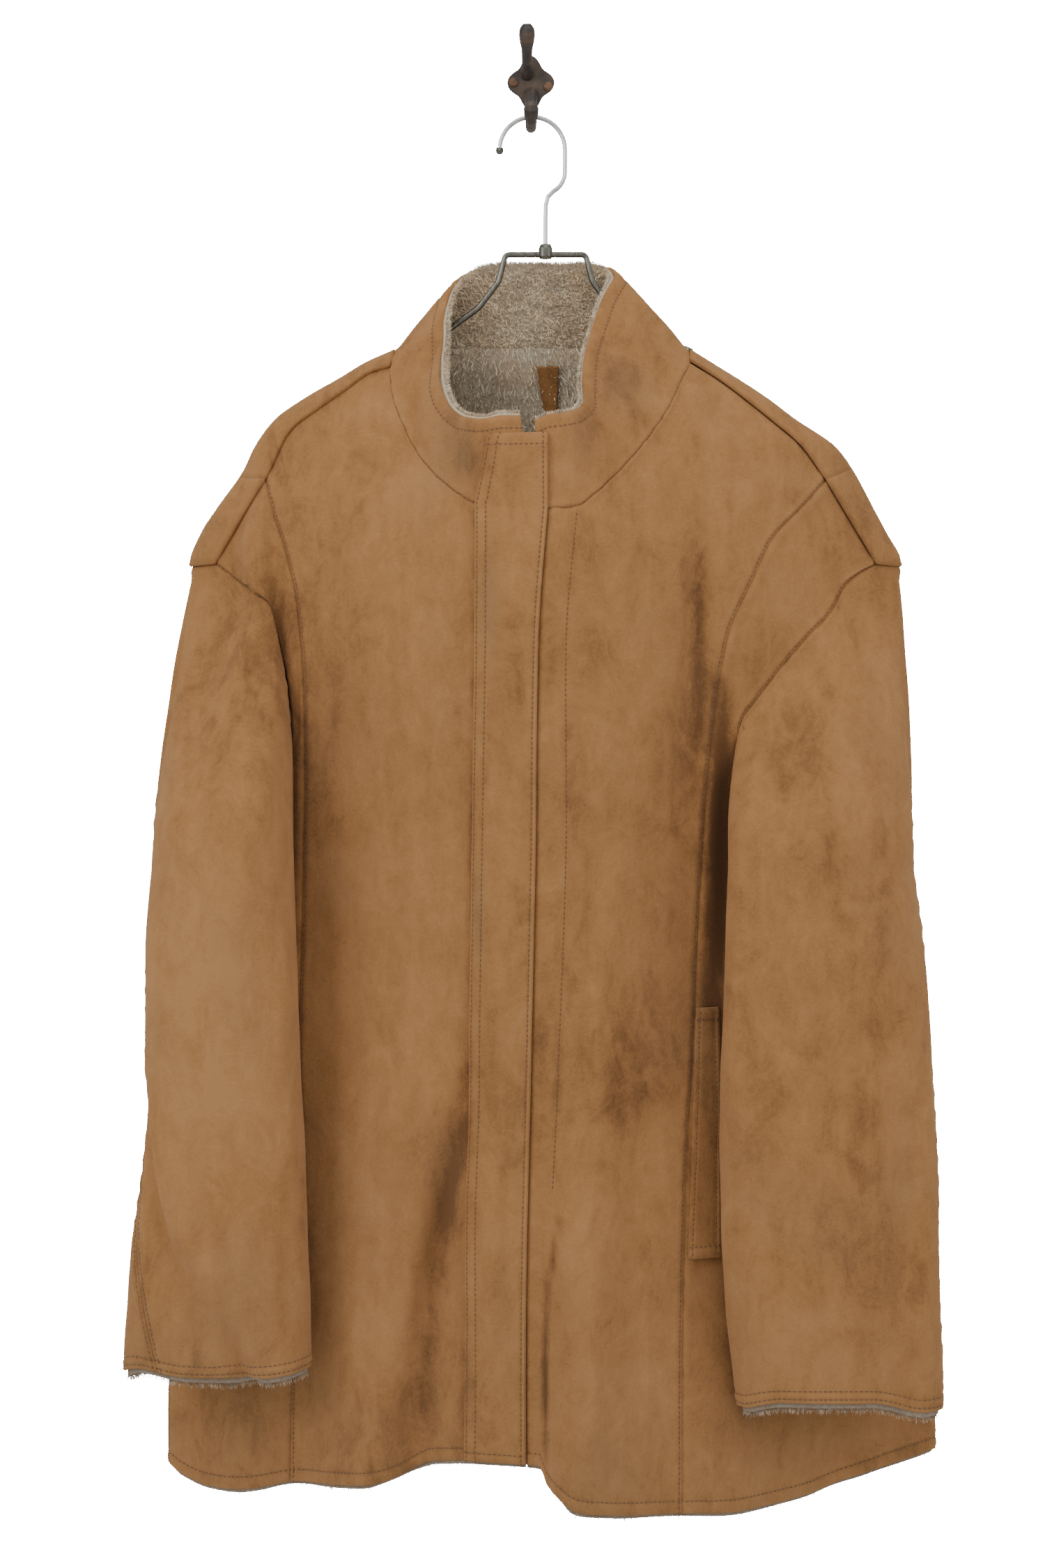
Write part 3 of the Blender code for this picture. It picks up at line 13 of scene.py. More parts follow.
import bpy
import numpy as np
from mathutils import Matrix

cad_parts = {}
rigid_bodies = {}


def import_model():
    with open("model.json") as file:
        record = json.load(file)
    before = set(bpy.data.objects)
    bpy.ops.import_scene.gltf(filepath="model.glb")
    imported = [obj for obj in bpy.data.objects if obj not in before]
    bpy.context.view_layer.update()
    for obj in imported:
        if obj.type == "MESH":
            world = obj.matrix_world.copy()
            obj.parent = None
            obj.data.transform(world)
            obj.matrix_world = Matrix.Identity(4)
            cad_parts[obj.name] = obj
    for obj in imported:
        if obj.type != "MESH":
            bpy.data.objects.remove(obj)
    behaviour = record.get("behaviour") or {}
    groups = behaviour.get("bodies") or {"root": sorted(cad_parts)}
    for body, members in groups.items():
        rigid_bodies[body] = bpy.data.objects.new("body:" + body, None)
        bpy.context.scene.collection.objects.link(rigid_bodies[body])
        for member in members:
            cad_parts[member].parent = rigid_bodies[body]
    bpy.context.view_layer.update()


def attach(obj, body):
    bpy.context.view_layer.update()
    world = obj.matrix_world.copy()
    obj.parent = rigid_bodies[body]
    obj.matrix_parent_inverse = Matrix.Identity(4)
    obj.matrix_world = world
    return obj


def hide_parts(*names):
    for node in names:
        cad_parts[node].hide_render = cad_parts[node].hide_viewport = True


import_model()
MM = 0.001

# %% [markdown]
# The photograph is a level view from in front. Its frame is 2250 pixels high, and one radian of
# view is 4246 of them, so a sensor 36 mm high needs a lens of 36 x 4246 / 2250 = 67.9 mm. The
# camera stands 2.2 m in front of the hanger.

# %% Camera
SENSOR, RADIAN, FRAME_HIGH = 36, 4246, 2250  # millimetres, then pixels of the photograph
CAMERA_PLACE = (-0.0064, -2.265, -0.5372)
camera_data = bpy.data.cameras.new("camera")
camera_data.lens = SENSOR * RADIAN / FRAME_HIGH
camera = bpy.data.objects.new("camera", camera_data)
camera.location = CAMERA_PLACE
camera.rotation_euler = (math.pi / 2, 0, 0)
bpy.context.scene.collection.objects.link(camera)
bpy.context.scene.camera = camera
print("lens:", round(camera_data.lens, 2), "mm")

# %% [markdown]
# A photo studio's light is large and soft. One broad lamp stands at the left in front, a weaker one
# at the right, one above, and a pale room fills the shadows. The floor is a plain pale sheet below
# the coat. It ends close behind it, so the view from in front shows only the pale room.

# %% Floor, room and lamps
ROOM_LIGHT, BACKDROP = 0.70, 40.0
FLOOR_SIZE, FLOOR_Z = 4.0, -1.75
bpy.ops.mesh.primitive_plane_add(size=FLOOR_SIZE, location=(0, 0, FLOOR_Z))
floor = bpy.context.object
floor.name = "floor"

world = bpy.data.worlds.new("room")
bpy.context.scene.world = world
world.use_nodes = True
room = world.node_tree.nodes["Background"]
room.inputs["Color"].default_value = (1, 1, 1, 1)
room.inputs["Strength"].default_value = ROOM_LIGHT
# What is seen of the room itself is white, as in the photograph, and lights nothing
backdrop = world.node_tree.nodes.new("ShaderNodeBackground")
backdrop.inputs["Color"].default_value = (1, 1, 1, 1)
backdrop.inputs["Strength"].default_value = BACKDROP
sight = world.node_tree.nodes.new("ShaderNodeLightPath")
either = world.node_tree.nodes.new("ShaderNodeMixShader")
links = world.node_tree.links
links.new(sight.outputs["Is Camera Ray"], either.inputs[0])
links.new(room.outputs[0], either.inputs[1])
links.new(backdrop.outputs[0], either.inputs[2])
links.new(either.outputs[0], world.node_tree.nodes["World Output"].inputs["Surface"])


def lamp(name, place, target, size, watts):
    """A soft rectangular lamp that points at its target."""
    data = bpy.data.lights.new(name, "AREA")
    data.shape = "RECTANGLE"
    data.size, data.size_y = size
    data.energy = watts
    made = bpy.data.objects.new(name, data)
    made.location = place
    way = np.array(target) - np.array(place)
    flat = math.hypot(way[0], way[1])
    made.rotation_euler = (math.atan2(flat, -way[2]), 0, math.atan2(-way[0], way[1]))
    bpy.context.scene.collection.objects.link(made)


COAT_CENTRE = (0.0, -0.08, -0.55)
lamp("key", (-1.7, -1.9, 0.5), COAT_CENTRE, (1.2, 1.6), 26)
lamp("fill", (1.9, -1.6, 0.1), COAT_CENTRE, (1.2, 1.6), 10)
lamp("top", (0.1, -0.6, 1.3), COAT_CENTRE, (1.4, 1.0), 9)
print("lamps: key, fill, top")

# %% [markdown]
# ## The coat's form
#
# A hanging coat is one closed ring of cloth whose size changes with height. The tables below say
# how wide it is to the left and right of its middle, how far its front crowns forward, and how deep
# its back is. A smooth curve goes through each column of a table, so a few rows are enough. They
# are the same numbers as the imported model's, so every shell lies on its solid.

# %% Curves through tables
MIDDLE = 0.0107  # x of the coat's middle
HANG = -0.065  # y of the hanger's plane
SIDES = ((1, "right"), (-1, "left"))
WORD = dict(SIDES)


def table(columns, rows):
    """A list of rows whose numbers are named by their columns."""
    kind = namedtuple("Row", columns)
    return [kind(*row) for row in rows]


class Curve:
    """A smooth curve through (place, value) rows. It never swings past them. It takes arrays."""

    def __init__(self, places, values):
        order = np.argsort(places)
        self.place = np.array(places, float)[order]
        self.value = np.array(values, float)[order]
        rise = np.diff(self.value) / np.diff(self.place)
        before, after = rise[:-1], rise[1:]
        same = before * after > 0
        inner = np.where(same, 2 * before * after / np.where(same, before + after, 1.0), 0.0)
        self.slope = np.concatenate([rise[:1], inner, rise[-1:]])

    def __call__(self, at):
        at = np.clip(at, self.place[0], self.place[-1])
        i = np.clip(np.searchsorted(self.place, at, "right") - 1, 0, len(self.place) - 2)
        width = self.place[i + 1] - self.place[i]
        t = (at - self.place[i]) / width
        start = self.value[i] * (1 + 2 * t) * (1 - t) ** 2
        end = self.value[i + 1] * t * t * (3 - 2 * t)
        return start + end + width * t * (1 - t) * (self.slope[i] * (1 - t) - self.slope[i + 1] * t)


def curve(rows, place, value):
    """The curve through one column of a table, along another."""
    return Curve([getattr(r, place) for r in rows], [getattr(r, value) for r in rows])


def smooth(t):
    t = np.clip(t, 0.0, 1.0)
    return t * t * (3 - 2 * t)


def mix(a, b, t):
    return a + (b - a) * t


def bell(away, width):
    """1 where away is 0, and almost 0 at twice the width."""
    return np.exp(-((away / width) ** 2))


def unit(v):
    return v / np.maximum(np.linalg.norm(v, axis=-1, keepdims=True), 1e-12)


# %% Tables of the body: metres, x from the coat's middle, depths from the hanger's plane
LEVELS = table("z left right crown round back", [
    (-0.2050, 0.0900, 0.0900, 0.008, 0.026, 0.028),
    (-0.2165, 0.1110, 0.1067, 0.012, 0.028, 0.030),
    (-0.2268, 0.1337, 0.1230, 0.016, 0.029, 0.033),
    (-0.2372, 0.1508, 0.1399, 0.020, 0.030, 0.036),
    (-0.2527, 0.1779, 0.1637, 0.026, 0.030, 0.039),
    (-0.2683, 0.2000, 0.1845, 0.032, 0.030, 0.041),
    (-0.2890, 0.2152, 0.2150, 0.039, 0.030, 0.044),
    (-0.3049, 0.2225, 0.2268, 0.044, 0.030, 0.045),
    (-0.3351, 0.2438, 0.2430, 0.053, 0.031, 0.047),
    (-0.3507, 0.2540, 0.2513, 0.056, 0.031, 0.048),
    (-0.3755, 0.2632, 0.2632, 0.060, 0.031, 0.049),
    (-0.4200, 0.2640, 0.2620, 0.062, 0.031, 0.050),
    (-0.4700, 0.2500, 0.2460, 0.062, 0.031, 0.050),
    (-0.5200, 0.2300, 0.2170, 0.062, 0.030, 0.050),
    (-0.5500, 0.2220, 0.2050, 0.061, 0.030, 0.050),
    (-0.6200, 0.2135, 0.2050, 0.060, 0.030, 0.050),
    (-0.7500, 0.2320, 0.2220, 0.059, 0.030, 0.050),
    (-0.9000, 0.2620, 0.2560, 0.060, 0.030, 0.050),
    (-0.9700, 0.2800, 0.2880, 0.062, 0.030, 0.050),
    (-1.0300, 0.2810, 0.2910, 0.064, 0.030, 0.050),
    (-1.0700, 0.2810, 0.2910, 0.064, 0.030, 0.050),
])
HALF = {-1: curve(LEVELS, "z", "left"), 1: curve(LEVELS, "z", "right")}
CROWN, ROUND, BACK = (curve(LEVELS, "z", name) for name in ("crown", "round", "back"))
TIP = -0.3755
COLLAR_TOP = -0.2050
UNDERARM = -0.550
RIDGE_END = 0.2632  # where the shoulder ridge meets the armhole
LOWEST, HEM_Z = -1.04, -1.03
print("the coat is", round(1000 * float(HALF[-1](HEM_Z) + HALF[1](HEM_Z))), "mm wide at its hem")

# %% [markdown]
# The largest folds run down the fronts and the back. Each is one soft ridge or trough along a
# slightly bent line, and its width differs to its two sides, as a real fold's does.

# %% Large folds of the body
BODY_FOLDS = table("face z_top z_low x_top x_mid x_low near far out_top out_mid out_low", [
    (1, -0.57, -1.08, 0.050, 0.022, 0.012, 0.015, 0.060, 0.002, 0.012, 0.028),
    (1, -0.74, -1.06, -0.057, -0.082, -0.096, 0.018, 0.018, -0.003, -0.012, -0.014),
    (1, -0.72, -1.06, -0.100, -0.118, -0.130, 0.030, 0.022, 0.003, 0.008, 0.014),
    (1, -0.31, -0.60, 0.118, 0.108, 0.100, 0.012, 0.014, -0.003, -0.006, -0.002),
    (1, -0.29, -0.52, -0.213, -0.211, -0.209, 0.010, 0.015, 0.005, 0.010, 0.008),
    (1, -0.80, -1.08, 0.125, 0.130, 0.135, 0.030, 0.030, 0.001, 0.006, 0.012),
    (1, -0.85, -1.08, 0.205, 0.210, 0.214, 0.020, 0.020, -0.001, -0.006, -0.012),
    (1, -0.85, -1.08, -0.220, -0.223, -0.226, 0.026, 0.026, 0.002, 0.008, 0.014),
    (1, -0.85, -1.08, -0.180, -0.182, -0.183, 0.015, 0.015, -0.001, -0.005, -0.010),
    (-1, -0.45, -1.08, -0.090, -0.100, -0.110, 0.030, 0.030, -0.002, -0.008, -0.012),
    (-1, -0.40, -1.08, 0.075, 0.090, 0.100, 0.028, 0.028, -0.002, -0.009, -0.013),
    (-1, -0.70, -1.08, 0.000, 0.004, 0.008, 0.025, 0.025, -0.001, -0.005, -0.008),
])

# %% Seams, hem and neck, as lines on the form
SEAM = "z x"
RIGHT_PRINCESS = table(SEAM, [
    (-0.3128, 0.2068), (-0.3321, 0.1895), (-0.3574, 0.1658), (-0.3922, 0.1491),
    (-0.4291, 0.1324), (-0.4741, 0.1238), (-0.5500, 0.1160), (-0.7241, 0.1072),
    (-0.8398, 0.0996), (-1.0600, 0.0971),
])
LEFT_PRINCESS = table(SEAM, [
    (-0.3128, -0.2050), (-0.3387, -0.1985), (-0.3670, -0.1894), (-0.4038, -0.1818),
    (-0.4741, -0.1777), (-0.7500, -0.1820), (-1.0424, -0.1873),
])
BACK_PRINCESS = table(SEAM, [
    (-0.3035, 0.2264), (-0.3500, 0.1980), (-0.4200, 0.1700), (-0.5500, 0.1500),
    (-0.8000, 0.1480), (-1.0700, 0.1600),
])
CLOSING = table(SEAM, [
    (-0.3402, -0.0042), (-0.4380, -0.0077), (-0.5500, -0.0078), (-0.7233, -0.0111),
    (-0.9446, -0.0151), (-1.0600, -0.0146),
])
FLAP_EDGE = table(SEAM, [
    (-0.3516, -0.0499), (-0.4380, -0.0508), (-0.7233, -0.0548), (-0.9446, -0.0573),
    (-1.0200, -0.0583),
])
RIGHT_ARMHOLE = table(SEAM, [
    (-0.3745, 0.2440), (-0.3800, 0.2330), (-0.3889, 0.2210), (-0.3980, 0.2160),
    (-0.4080, 0.2115), (-0.4330, 0.1885), (-0.4668, 0.1609), (-0.4964, 0.1410),
    (-0.5250, 0.1600), (-0.5500, 0.2050),
])
LEFT_ARMHOLE = table(SEAM, [
    (-0.3745, 0.2440), (-0.3858, 0.2280), (-0.3925, 0.2180), (-0.4001, 0.2070),
    (-0.4087, 0.2010), (-0.4368, 0.1950), (-0.4668, 0.1900), (-0.4964, 0.1880),
    (-0.5250, 0.1980), (-0.5500, 0.2220),
])
ACROSS = "z left right"
BACK_ARMHOLE = table(ACROSS, [
    (-0.3755, 0.2632, 0.2632), (-0.4000, 0.2400, 0.2380), (-0.4400, 0.2150, 0.2080),
    (-0.4900, 0.2050, 0.1950), (-0.5250, 0.2090, 0.1970), (-0.5500, 0.2220, 0.2050),
])
princess = {1: curve(RIGHT_PRINCESS, "z", "x"), -1: curve(LEFT_PRINCESS, "z", "x")}
back_princess = curve(BACK_PRINCESS, "z", "x")
closing = curve(CLOSING, "z", "x")
flap_edge = curve(FLAP_EDGE, "z", "x")
armhole = {1: curve(RIGHT_ARMHOLE, "z", "x"), -1: curve(LEFT_ARMHOLE, "z", "x")}
back_armhole = {1: curve(BACK_ARMHOLE, "z", "right"), -1: curve(BACK_ARMHOLE, "z", "left")}

HEMS = table("x front back", [
    (-0.281, -1.0410, -1.041), (-0.270, -1.0480, -1.043), (-0.250, -1.0540, -1.044),
    (-0.222, -1.0525, -1.046), (-0.187, -1.0480, -1.046), (-0.139, -1.0420, -1.045),
    (-0.105, -1.0355, -1.044), (-0.081, -1.0235, -1.044), (-0.058, -1.0205, -1.044),
    (-0.004, -1.0220, -1.046), (0.0002, -1.0345, -1.046), (0.0074, -1.0402, -1.046),
    (0.022, -1.0497, -1.047), (0.042, -1.0532, -1.048), (0.066, -1.0566, -1.049),
    (0.137, -1.0605, -1.052), (0.192, -1.0565, -1.053), (0.248, -1.0405, -1.046),
    (0.291, -1.0300, -1.030),
])
hem = {1: curve(HEMS, "x", "front"), -1: curve(HEMS, "x", "back")}

NECK = table("face x z edge_x edge_y edge_z", [
    (1, 0.0005, -0.3400, 0.0005, -0.150, -0.2732),
    (1, 0.0203, -0.3382, 0.0147, -0.149, -0.2712),
    (1, 0.0420, -0.3220, 0.0262, -0.144, -0.2665),
    (1, 0.0657, -0.2962, 0.0288, -0.134, -0.2585),
    (1, 0.0814, -0.2750, 0.0272, -0.123, -0.2440),
    (1, 0.0930, -0.2553, 0.0295, -0.111, -0.2225),
    (1, 0.1011, -0.2366, 0.0349, -0.098, -0.2030),
    (1, 0.1069, -0.2259, 0.0430, -0.082, -0.1780),
    (1, 0.1067, -0.2165, 0.0530, -0.062, -0.1570),
    (-1, 0.0900, -0.2120, 0.0480, -0.046, -0.1490),
    (-1, 0.0600, -0.2095, 0.0350, -0.038, -0.1480),
    (-1, 0.0200, -0.2090, 0.0050, -0.035, -0.1490),
    (-1, -0.0250, -0.2090, -0.0280, -0.036, -0.1490),
    (-1, -0.0650, -0.2095, -0.0510, -0.041, -0.1510),
    (-1, -0.0950, -0.2120, -0.0660, -0.052, -0.1580),
    (1, -0.1110, -0.2165, -0.0720, -0.065, -0.1680),
    (1, -0.1150, -0.2300, -0.0760, -0.082, -0.1850),
    (1, -0.1130, -0.2500, -0.0785, -0.099, -0.2098),
    (1, -0.1055, -0.2720, -0.0785, -0.114, -0.2380),
    (1, -0.0929, -0.2972, -0.0728, -0.127, -0.2612),
    (1, -0.0720, -0.3210, -0.0612, -0.137, -0.2726),
    (1, -0.0509, -0.3351, -0.0459, -0.144, -0.2755),
    (1, -0.0290, -0.3400, -0.0333, -0.148, -0.2735),
    (1, -0.0080, -0.3400, -0.0195, -0.149, -0.2735),
])
# Rows of NECK: where the shoulder seams and the ridge meet the collar, and the flap's free edge
RIGHT_SIDE, RIGHT_RIDGE, LEFT_RIDGE, LEFT_SIDE, FLAP_STATION = 7, 8, 15, 16, 21

SHOULDER = table("seam_x drop ridge_x", [
    (0.1285, 0.0090, 0.1310), (0.1486, 0.0115, 0.1510), (0.1692, 0.0140, 0.1730),
    (0.1882, 0.0165, 0.1980), (0.2068, 0.0300, 0.2264),
])
PRINCESS_TOP_Z = -0.3128
CAP_END = RIGHT_ARMHOLE[0]
print("seam tables:", len(RIGHT_PRINCESS) + len(LEFT_PRINCESS) + len(BACK_PRINCESS), "rows")

# %% [markdown]
# ## Points on the form
#
# Given a place across the coat and a height, these functions return the point on its front or its
# back. Panels, collar, flap and welt are all read from them, so neighbours share their seams.

# %% Points of the body
BACK_POWER = 2.6  # how square the back's section is; 2 is a plain ellipse
SIDE_FADE = 6  # folds fade out over the last sixth of the way to the coat's sides


def fold_out(fold, x, z):
    """How far a large fold stands out at x and z."""
    t = (fold.z_top - z) / (fold.z_top - fold.z_low)
    line = Curve([0, 0.5, 1.0], [fold.x_top, fold.x_mid, fold.x_low])(t)
    out = Curve([0, 0.15, 0.5, 1.0], [0, fold.out_top, fold.out_mid, fold.out_low])(t)
    width = np.where(x < line, fold.near, fold.far)
    return np.where((t > 0) & (t < 1.2), out * bell(x - line, width), 0.0)


def half_width(x, z):
    return np.where(x >= 0, HALF[1](z), HALF[-1](z))


def body(x, z, face):
    """Points of the body's form, on its front (face 1) or its back (-1)."""
    half = half_width(x, z)
    u = np.minimum(np.abs(x) / half, 1.0)
    if face > 0:
        deep = -CROWN(z) * np.cos(math.pi / 2 * u) ** 2 - ROUND(z) * np.sqrt(1 - u**2)
    else:
        deep = BACK(z) * np.maximum(1 - u**BACK_POWER, 0.0) ** (1 / BACK_POWER)
    edge = smooth((1 - u) * SIDE_FADE)
    for fold in BODY_FOLDS:
        if fold.face == face:
            deep = deep - face * edge * fold_out(fold, x, z)
    return np.stack([MIDDLE + np.sign(x) * half * u, HANG + deep, z + 0 * x], axis=-1)


def ridge(x):
    """Height of the shoulder's ridge at x."""
    heights = np.linspace(COLLAR_TOP, TIP, 600)
    x = np.asarray(x, float)
    found = {side: np.interp(np.abs(x), HALF[side](heights), heights) for side in (-1, 1)}
    return np.where(x >= 0, found[1], found[-1])


def line(rows, steps):
    """A smooth line through rows of numbers, with that many steps to each gap."""
    rows = np.array(rows, float)
    at = np.linspace(0, len(rows) - 1, (len(rows) - 1) * steps + 1)
    return np.stack([Curve(range(len(rows)), column)(at) for column in rows.T], axis=-1)


def along(points):
    """How far each point is along the line through them, in metres."""
    steps = np.linalg.norm(np.diff(points, axis=0), axis=-1)
    return np.concatenate([[0.0], np.cumsum(steps)])


def respaced(points, places):
    """The line through points, read at the given places along it, as shares of its length."""
    far = along(points)
    return np.stack([np.interp(places * far[-1], far, column) for column in points.T], axis=-1)


print("shoulder ridge at 150 mm:", round(1000 * float(ridge(0.15))), "mm")

# %% [markdown]
# A panel is a grid. Its columns run from the hem to its top line, and each keeps its share of the
# way between the two seams. The rows and columns lie closer together near an edge, because that is
# where cloth rolls over and is stitched.

# %% Grids with fine edges
EDGE_STEPS = np.array([0.0, 0.9, 1.9, 3.1, 4.6, 6.4, 8.6, 11.2]) * MM
STEP = 4.6 * MM
# About how far it is in metres from the hem to the underarm, and on to the top in front and behind
LOW_LONG, FRONT_LONG, BACK_LONG = 0.49, 0.25, 0.30
NARROWEST = 0.05
STRAIGHT = 0.85  # a turn of the top line whose cosine is less than this is a corner


def spread(length, low=True, high=True, step=STEP):
    """Shares from 0 to 1 of a length in metres, fine at the ends that are asked for."""
    steps = EDGE_STEPS * min(1.0, length / (3 * EDGE_STEPS[-1]))
    start = steps if low else steps[:1]
    end = length - steps[::-1] if high else np.array([length])
    count = max(int((end[0] - start[-1]) / step), 2)
    middle = np.linspace(start[-1], end[0], count + 1)[1:-1]
    return np.concatenate([start, middle, end]) / length


class Grid:
    """Points of a cloth surface by row and column, with the way out of it at each."""

    def __init__(self, points, face_out=1, normals=None):
        self.points = points
        if normals is None:
            around, up = np.gradient(points, axis=1), np.gradient(points, axis=0)
            normals = unit(np.cross(around, up)) * face_out
        self.normals = normals

    def raised(self, height):
        return Grid(self.points + self.normals * height, normals=self.normals)


def share_along(points):
    """How far each point is along the line through them, as a share of its length."""
    far = along(points)
    return far / far[-1]


def hung_from(face, tops, left, right, high_rows):
    """The grid of a body panel below each point of its top line, between two seams."""
    share = share_along(tops)
    hem_z = hem[face](mix(left(LOWEST), right(LOWEST), share))
    low_rows = spread(LOW_LONG, high=False)[:, None]
    z = np.vstack([mix(hem_z, UNDERARM, low_rows), mix(UNDERARM, tops[:, 1], high_rows[1:, None])])
    t = np.maximum((z - UNDERARM) / (tops[:, 1] - UNDERARM), 0.0)
    shift = tops[:, 0] - mix(left(tops[:, 1]), right(tops[:, 1]), share)
    x = mix(left(z), right(z), share) + shift * t * t
    return Grid(body(x, z, face), face), x, z


def panel(face, tops, left, right):
    """A body panel between two seams. tops is its top line as (x, z), from left to right."""
    places = spread(max(float(right(UNDERARM) - left(UNDERARM)), NARROWEST))
    ways = unit(np.diff(tops, axis=0))
    # A column goes through each corner of the top line, such as the one at the collar
    for corner in share_along(tops)[1:-1][np.sum(ways[1:] * ways[:-1], axis=-1) < STRAIGHT]:
        places[np.argmin(abs(places - corner))] = corner
    return hung_from(face, respaced(tops, places), left, right, spread(FRONT_LONG, low=False))


# %% [markdown]
# ## Folds and creases
#
# Bonded cloth is stiff, so it makes few and soft creases. Each one here is a straight stroke on the
# front or the back with its own length, width and height. Near the seams the cloth also puckers a
# little between the stitches. All of it is added along the surface's way out.

# %% Creases of the body: ends, width and height in metres; out above 0 is a ridge
CREASE = "face x0 z0 x1 z1 width out"
CREASES = table(CREASE, [
    (1, 0.062, -0.560, 0.048, -0.640, 0.012, 0.0022),
    (1, 0.050, -0.640, 0.028, -0.730, 0.010, 0.0024),
    (1, 0.020, -0.600, 0.030, -0.660, 0.006, -0.0016),
    (1, 0.028, -0.560, 0.018, -0.640, 0.007, 0.0012),
    (1, -0.060, -0.620, -0.078, -0.720, 0.012, -0.0020),
    (1, -0.066, -0.780, -0.090, -0.900, 0.009, -0.0026),
    (1, -0.084, -0.760, -0.104, -0.930, 0.014, 0.0024),
    (1, -0.064, -0.430, -0.058, -0.560, 0.010, -0.0016),
    (1, -0.120, -0.350, -0.128, -0.480, 0.030, 0.0030),
    (1, -0.165, -0.400, -0.160, -0.560, 0.018, -0.0018),
    (1, -0.150, -0.700, -0.140, -0.960, 0.020, 0.0022),
    (1, 0.118, -0.350, 0.106, -0.470, 0.012, -0.0022),
    (1, 0.085, -0.420, 0.078, -0.560, 0.022, 0.0024),
    (1, 0.060, -0.760, 0.066, -0.930, 0.018, -0.0020),
    (1, 0.090, -0.800, 0.084, -1.000, 0.014, 0.0018),
    (1, 0.160, -0.900, 0.170, -1.020, 0.014, -0.0020),
    (1, 0.030, -0.860, 0.034, -1.040, 0.012, 0.0018),
    (1, -0.180, -0.960, -0.190, -1.040, 0.012, 0.0018),
    (1, -0.100, -0.300, -0.150, -0.330, 0.016, -0.0014),
    (1, 0.120, -0.290, 0.165, -0.330, 0.014, 0.0014),
    (1, -0.2165, -0.300, -0.2120, -0.420, 0.009, 0.0050),
    (1, -0.2010, -0.330, -0.1890, -0.560, 0.006, -0.0050),
    (1, -0.0590, -0.745, -0.0880, -0.930, 0.008, -0.0040),
    (1, -0.0750, -0.740, -0.1080, -0.960, 0.012, 0.0026),
    (-1, -0.060, -0.270, -0.110, -0.330, 0.016, 0.0020),
    (-1, 0.070, -0.280, 0.120, -0.340, 0.018, 0.0018),
    (-1, -0.150, -0.520, -0.080, -0.600, 0.018, -0.0022),
    (-1, 0.150, -0.520, 0.090, -0.620, 0.020, 0.0024),
    (-1, 0.020, -0.420, 0.030, -0.620, 0.024, 0.0022),
    (-1, -0.050, -0.640, -0.060, -0.860, 0.020, 0.0024),
    (-1, 0.050, -0.760, 0.056, -0.980, 0.018, -0.0022),
    (-1, -0.140, -0.840, -0.150, -1.030, 0.018, 0.0020),
])
# Ripples: waves across the cloth, their height in mm and how many there are to a metre
RIPPLES = table("height across upright start", [
    (0.55, 5.3, 3.1, 0.4),
    (0.40, 9.1, -4.7, 2.1),
    (0.28, 14.2, 6.3, 1.2),
    (0.20, 22.0, -9.0, 3.9),
    (0.12, 35.0, 17.0, 0.9),
])
# Relief of sewn edges: a groove in the seam, a soft pad beside it, and a furrow under stitches
GROOVE_DEPTH, GROOVE_WIDTH = 0.8 * MM, 1.1 * MM
PAD_HIGH, PAD_AT, PAD_WIDTH = 0.7 * MM, 4.2 * MM, 3.2 * MM
FURROW_DEPTH, FURROW_WIDTH = 0.7 * MM, 1.0 * MM
LONG_PUCKER, SHORT_PUCKER = 15 * MM, 6.3 * MM
COLLAR_ENDS, COLLAR_FADE, RIGHT_TOP = 0.105, 0.015, 0.45


def stroke(x, z, crease):
    """How much of a crease is at x and z, 1 on its middle and 0 away from it."""
    start = np.array([crease.x0, crease.z0])
    way = np.array([crease.x1, crease.z1]) - start
    length = float(np.linalg.norm(way))
    way = way / length
    far = (x - start[0]) * way[0] + (z - start[1]) * way[1]
    off = (x - start[0]) * way[1] - (z - start[1]) * way[0]
    t = np.clip(far / length, 0.0, 1.0)
    past = far - t * length
    fade = 0.35 + 0.65 * np.sin(math.pi * t) ** 0.7
    return fade * np.exp(-(off**2 + (past * 0.6) ** 2) / crease.width**2)


def creased(x, z, face):
    """The relief of the body's creases and ripples."""
    out = sum(c.out * stroke(x, z, c) for c in CREASES if c.face == face)
    for height, across, upright, start in RIPPLES:
        out = out + height * MM * np.sin(2 * math.pi * (across * x + upright * z) + start + face)
    return out


def rolled(distance, pucker=None):
    """The relief of a sewn edge at a distance from it: a groove, then a soft pad."""
    groove = -GROOVE_DEPTH * bell(distance, GROOVE_WIDTH)
    pad = PAD_HIGH * bell(distance - PAD_AT, PAD_WIDTH)
    if pucker is not None:
        pad = pad * (1 + 0.55 * np.sin(pucker * 2 * math.pi / LONG_PUCKER)
                     + 0.35 * np.sin(pucker * 2 * math.pi / SHORT_PUCKER + 1.0))
    return groove + pad


def top_share(x):
    """How strong the seam along a panel's top is: none over the left shoulder."""
    over = smooth((np.abs(x) - COLLAR_ENDS) / COLLAR_FADE)
    return mix(1.0, np.where(x > 0, RIGHT_TOP, 0.0), over)


def stitched(distance, inset):
    """The small furrow that a row of stitches pulls into the cloth."""
    return -FURROW_DEPTH * bell(distance - inset, FURROW_WIDTH)


def turned_under(far, edges, depth, width):
    """The relief of edges that are turned under, where the cloth sinks away."""
    return -depth * sum(bell(far[edge], width) for edge in edges)


print(len(CREASES), "creases,", len(RIPPLES), "ripples")

# %% [markdown]
# ## From a grid to a piece of cloth
#
# The wall is two layers of points joined round the edge by one more ring that stands out a little,
# which rounds the edge as cut and turned cloth is. It is a closed mesh with all faces outwards.
# Each point also stores three numbers for the finish: how near it is to a sewn edge, how dark the
# nap has been brushed there together with the shade painted there, and how grey the nap is there.

# %% Closed walls of cloth
SUEDE, BULGE = 3.0 * MM, 0.7 * MM


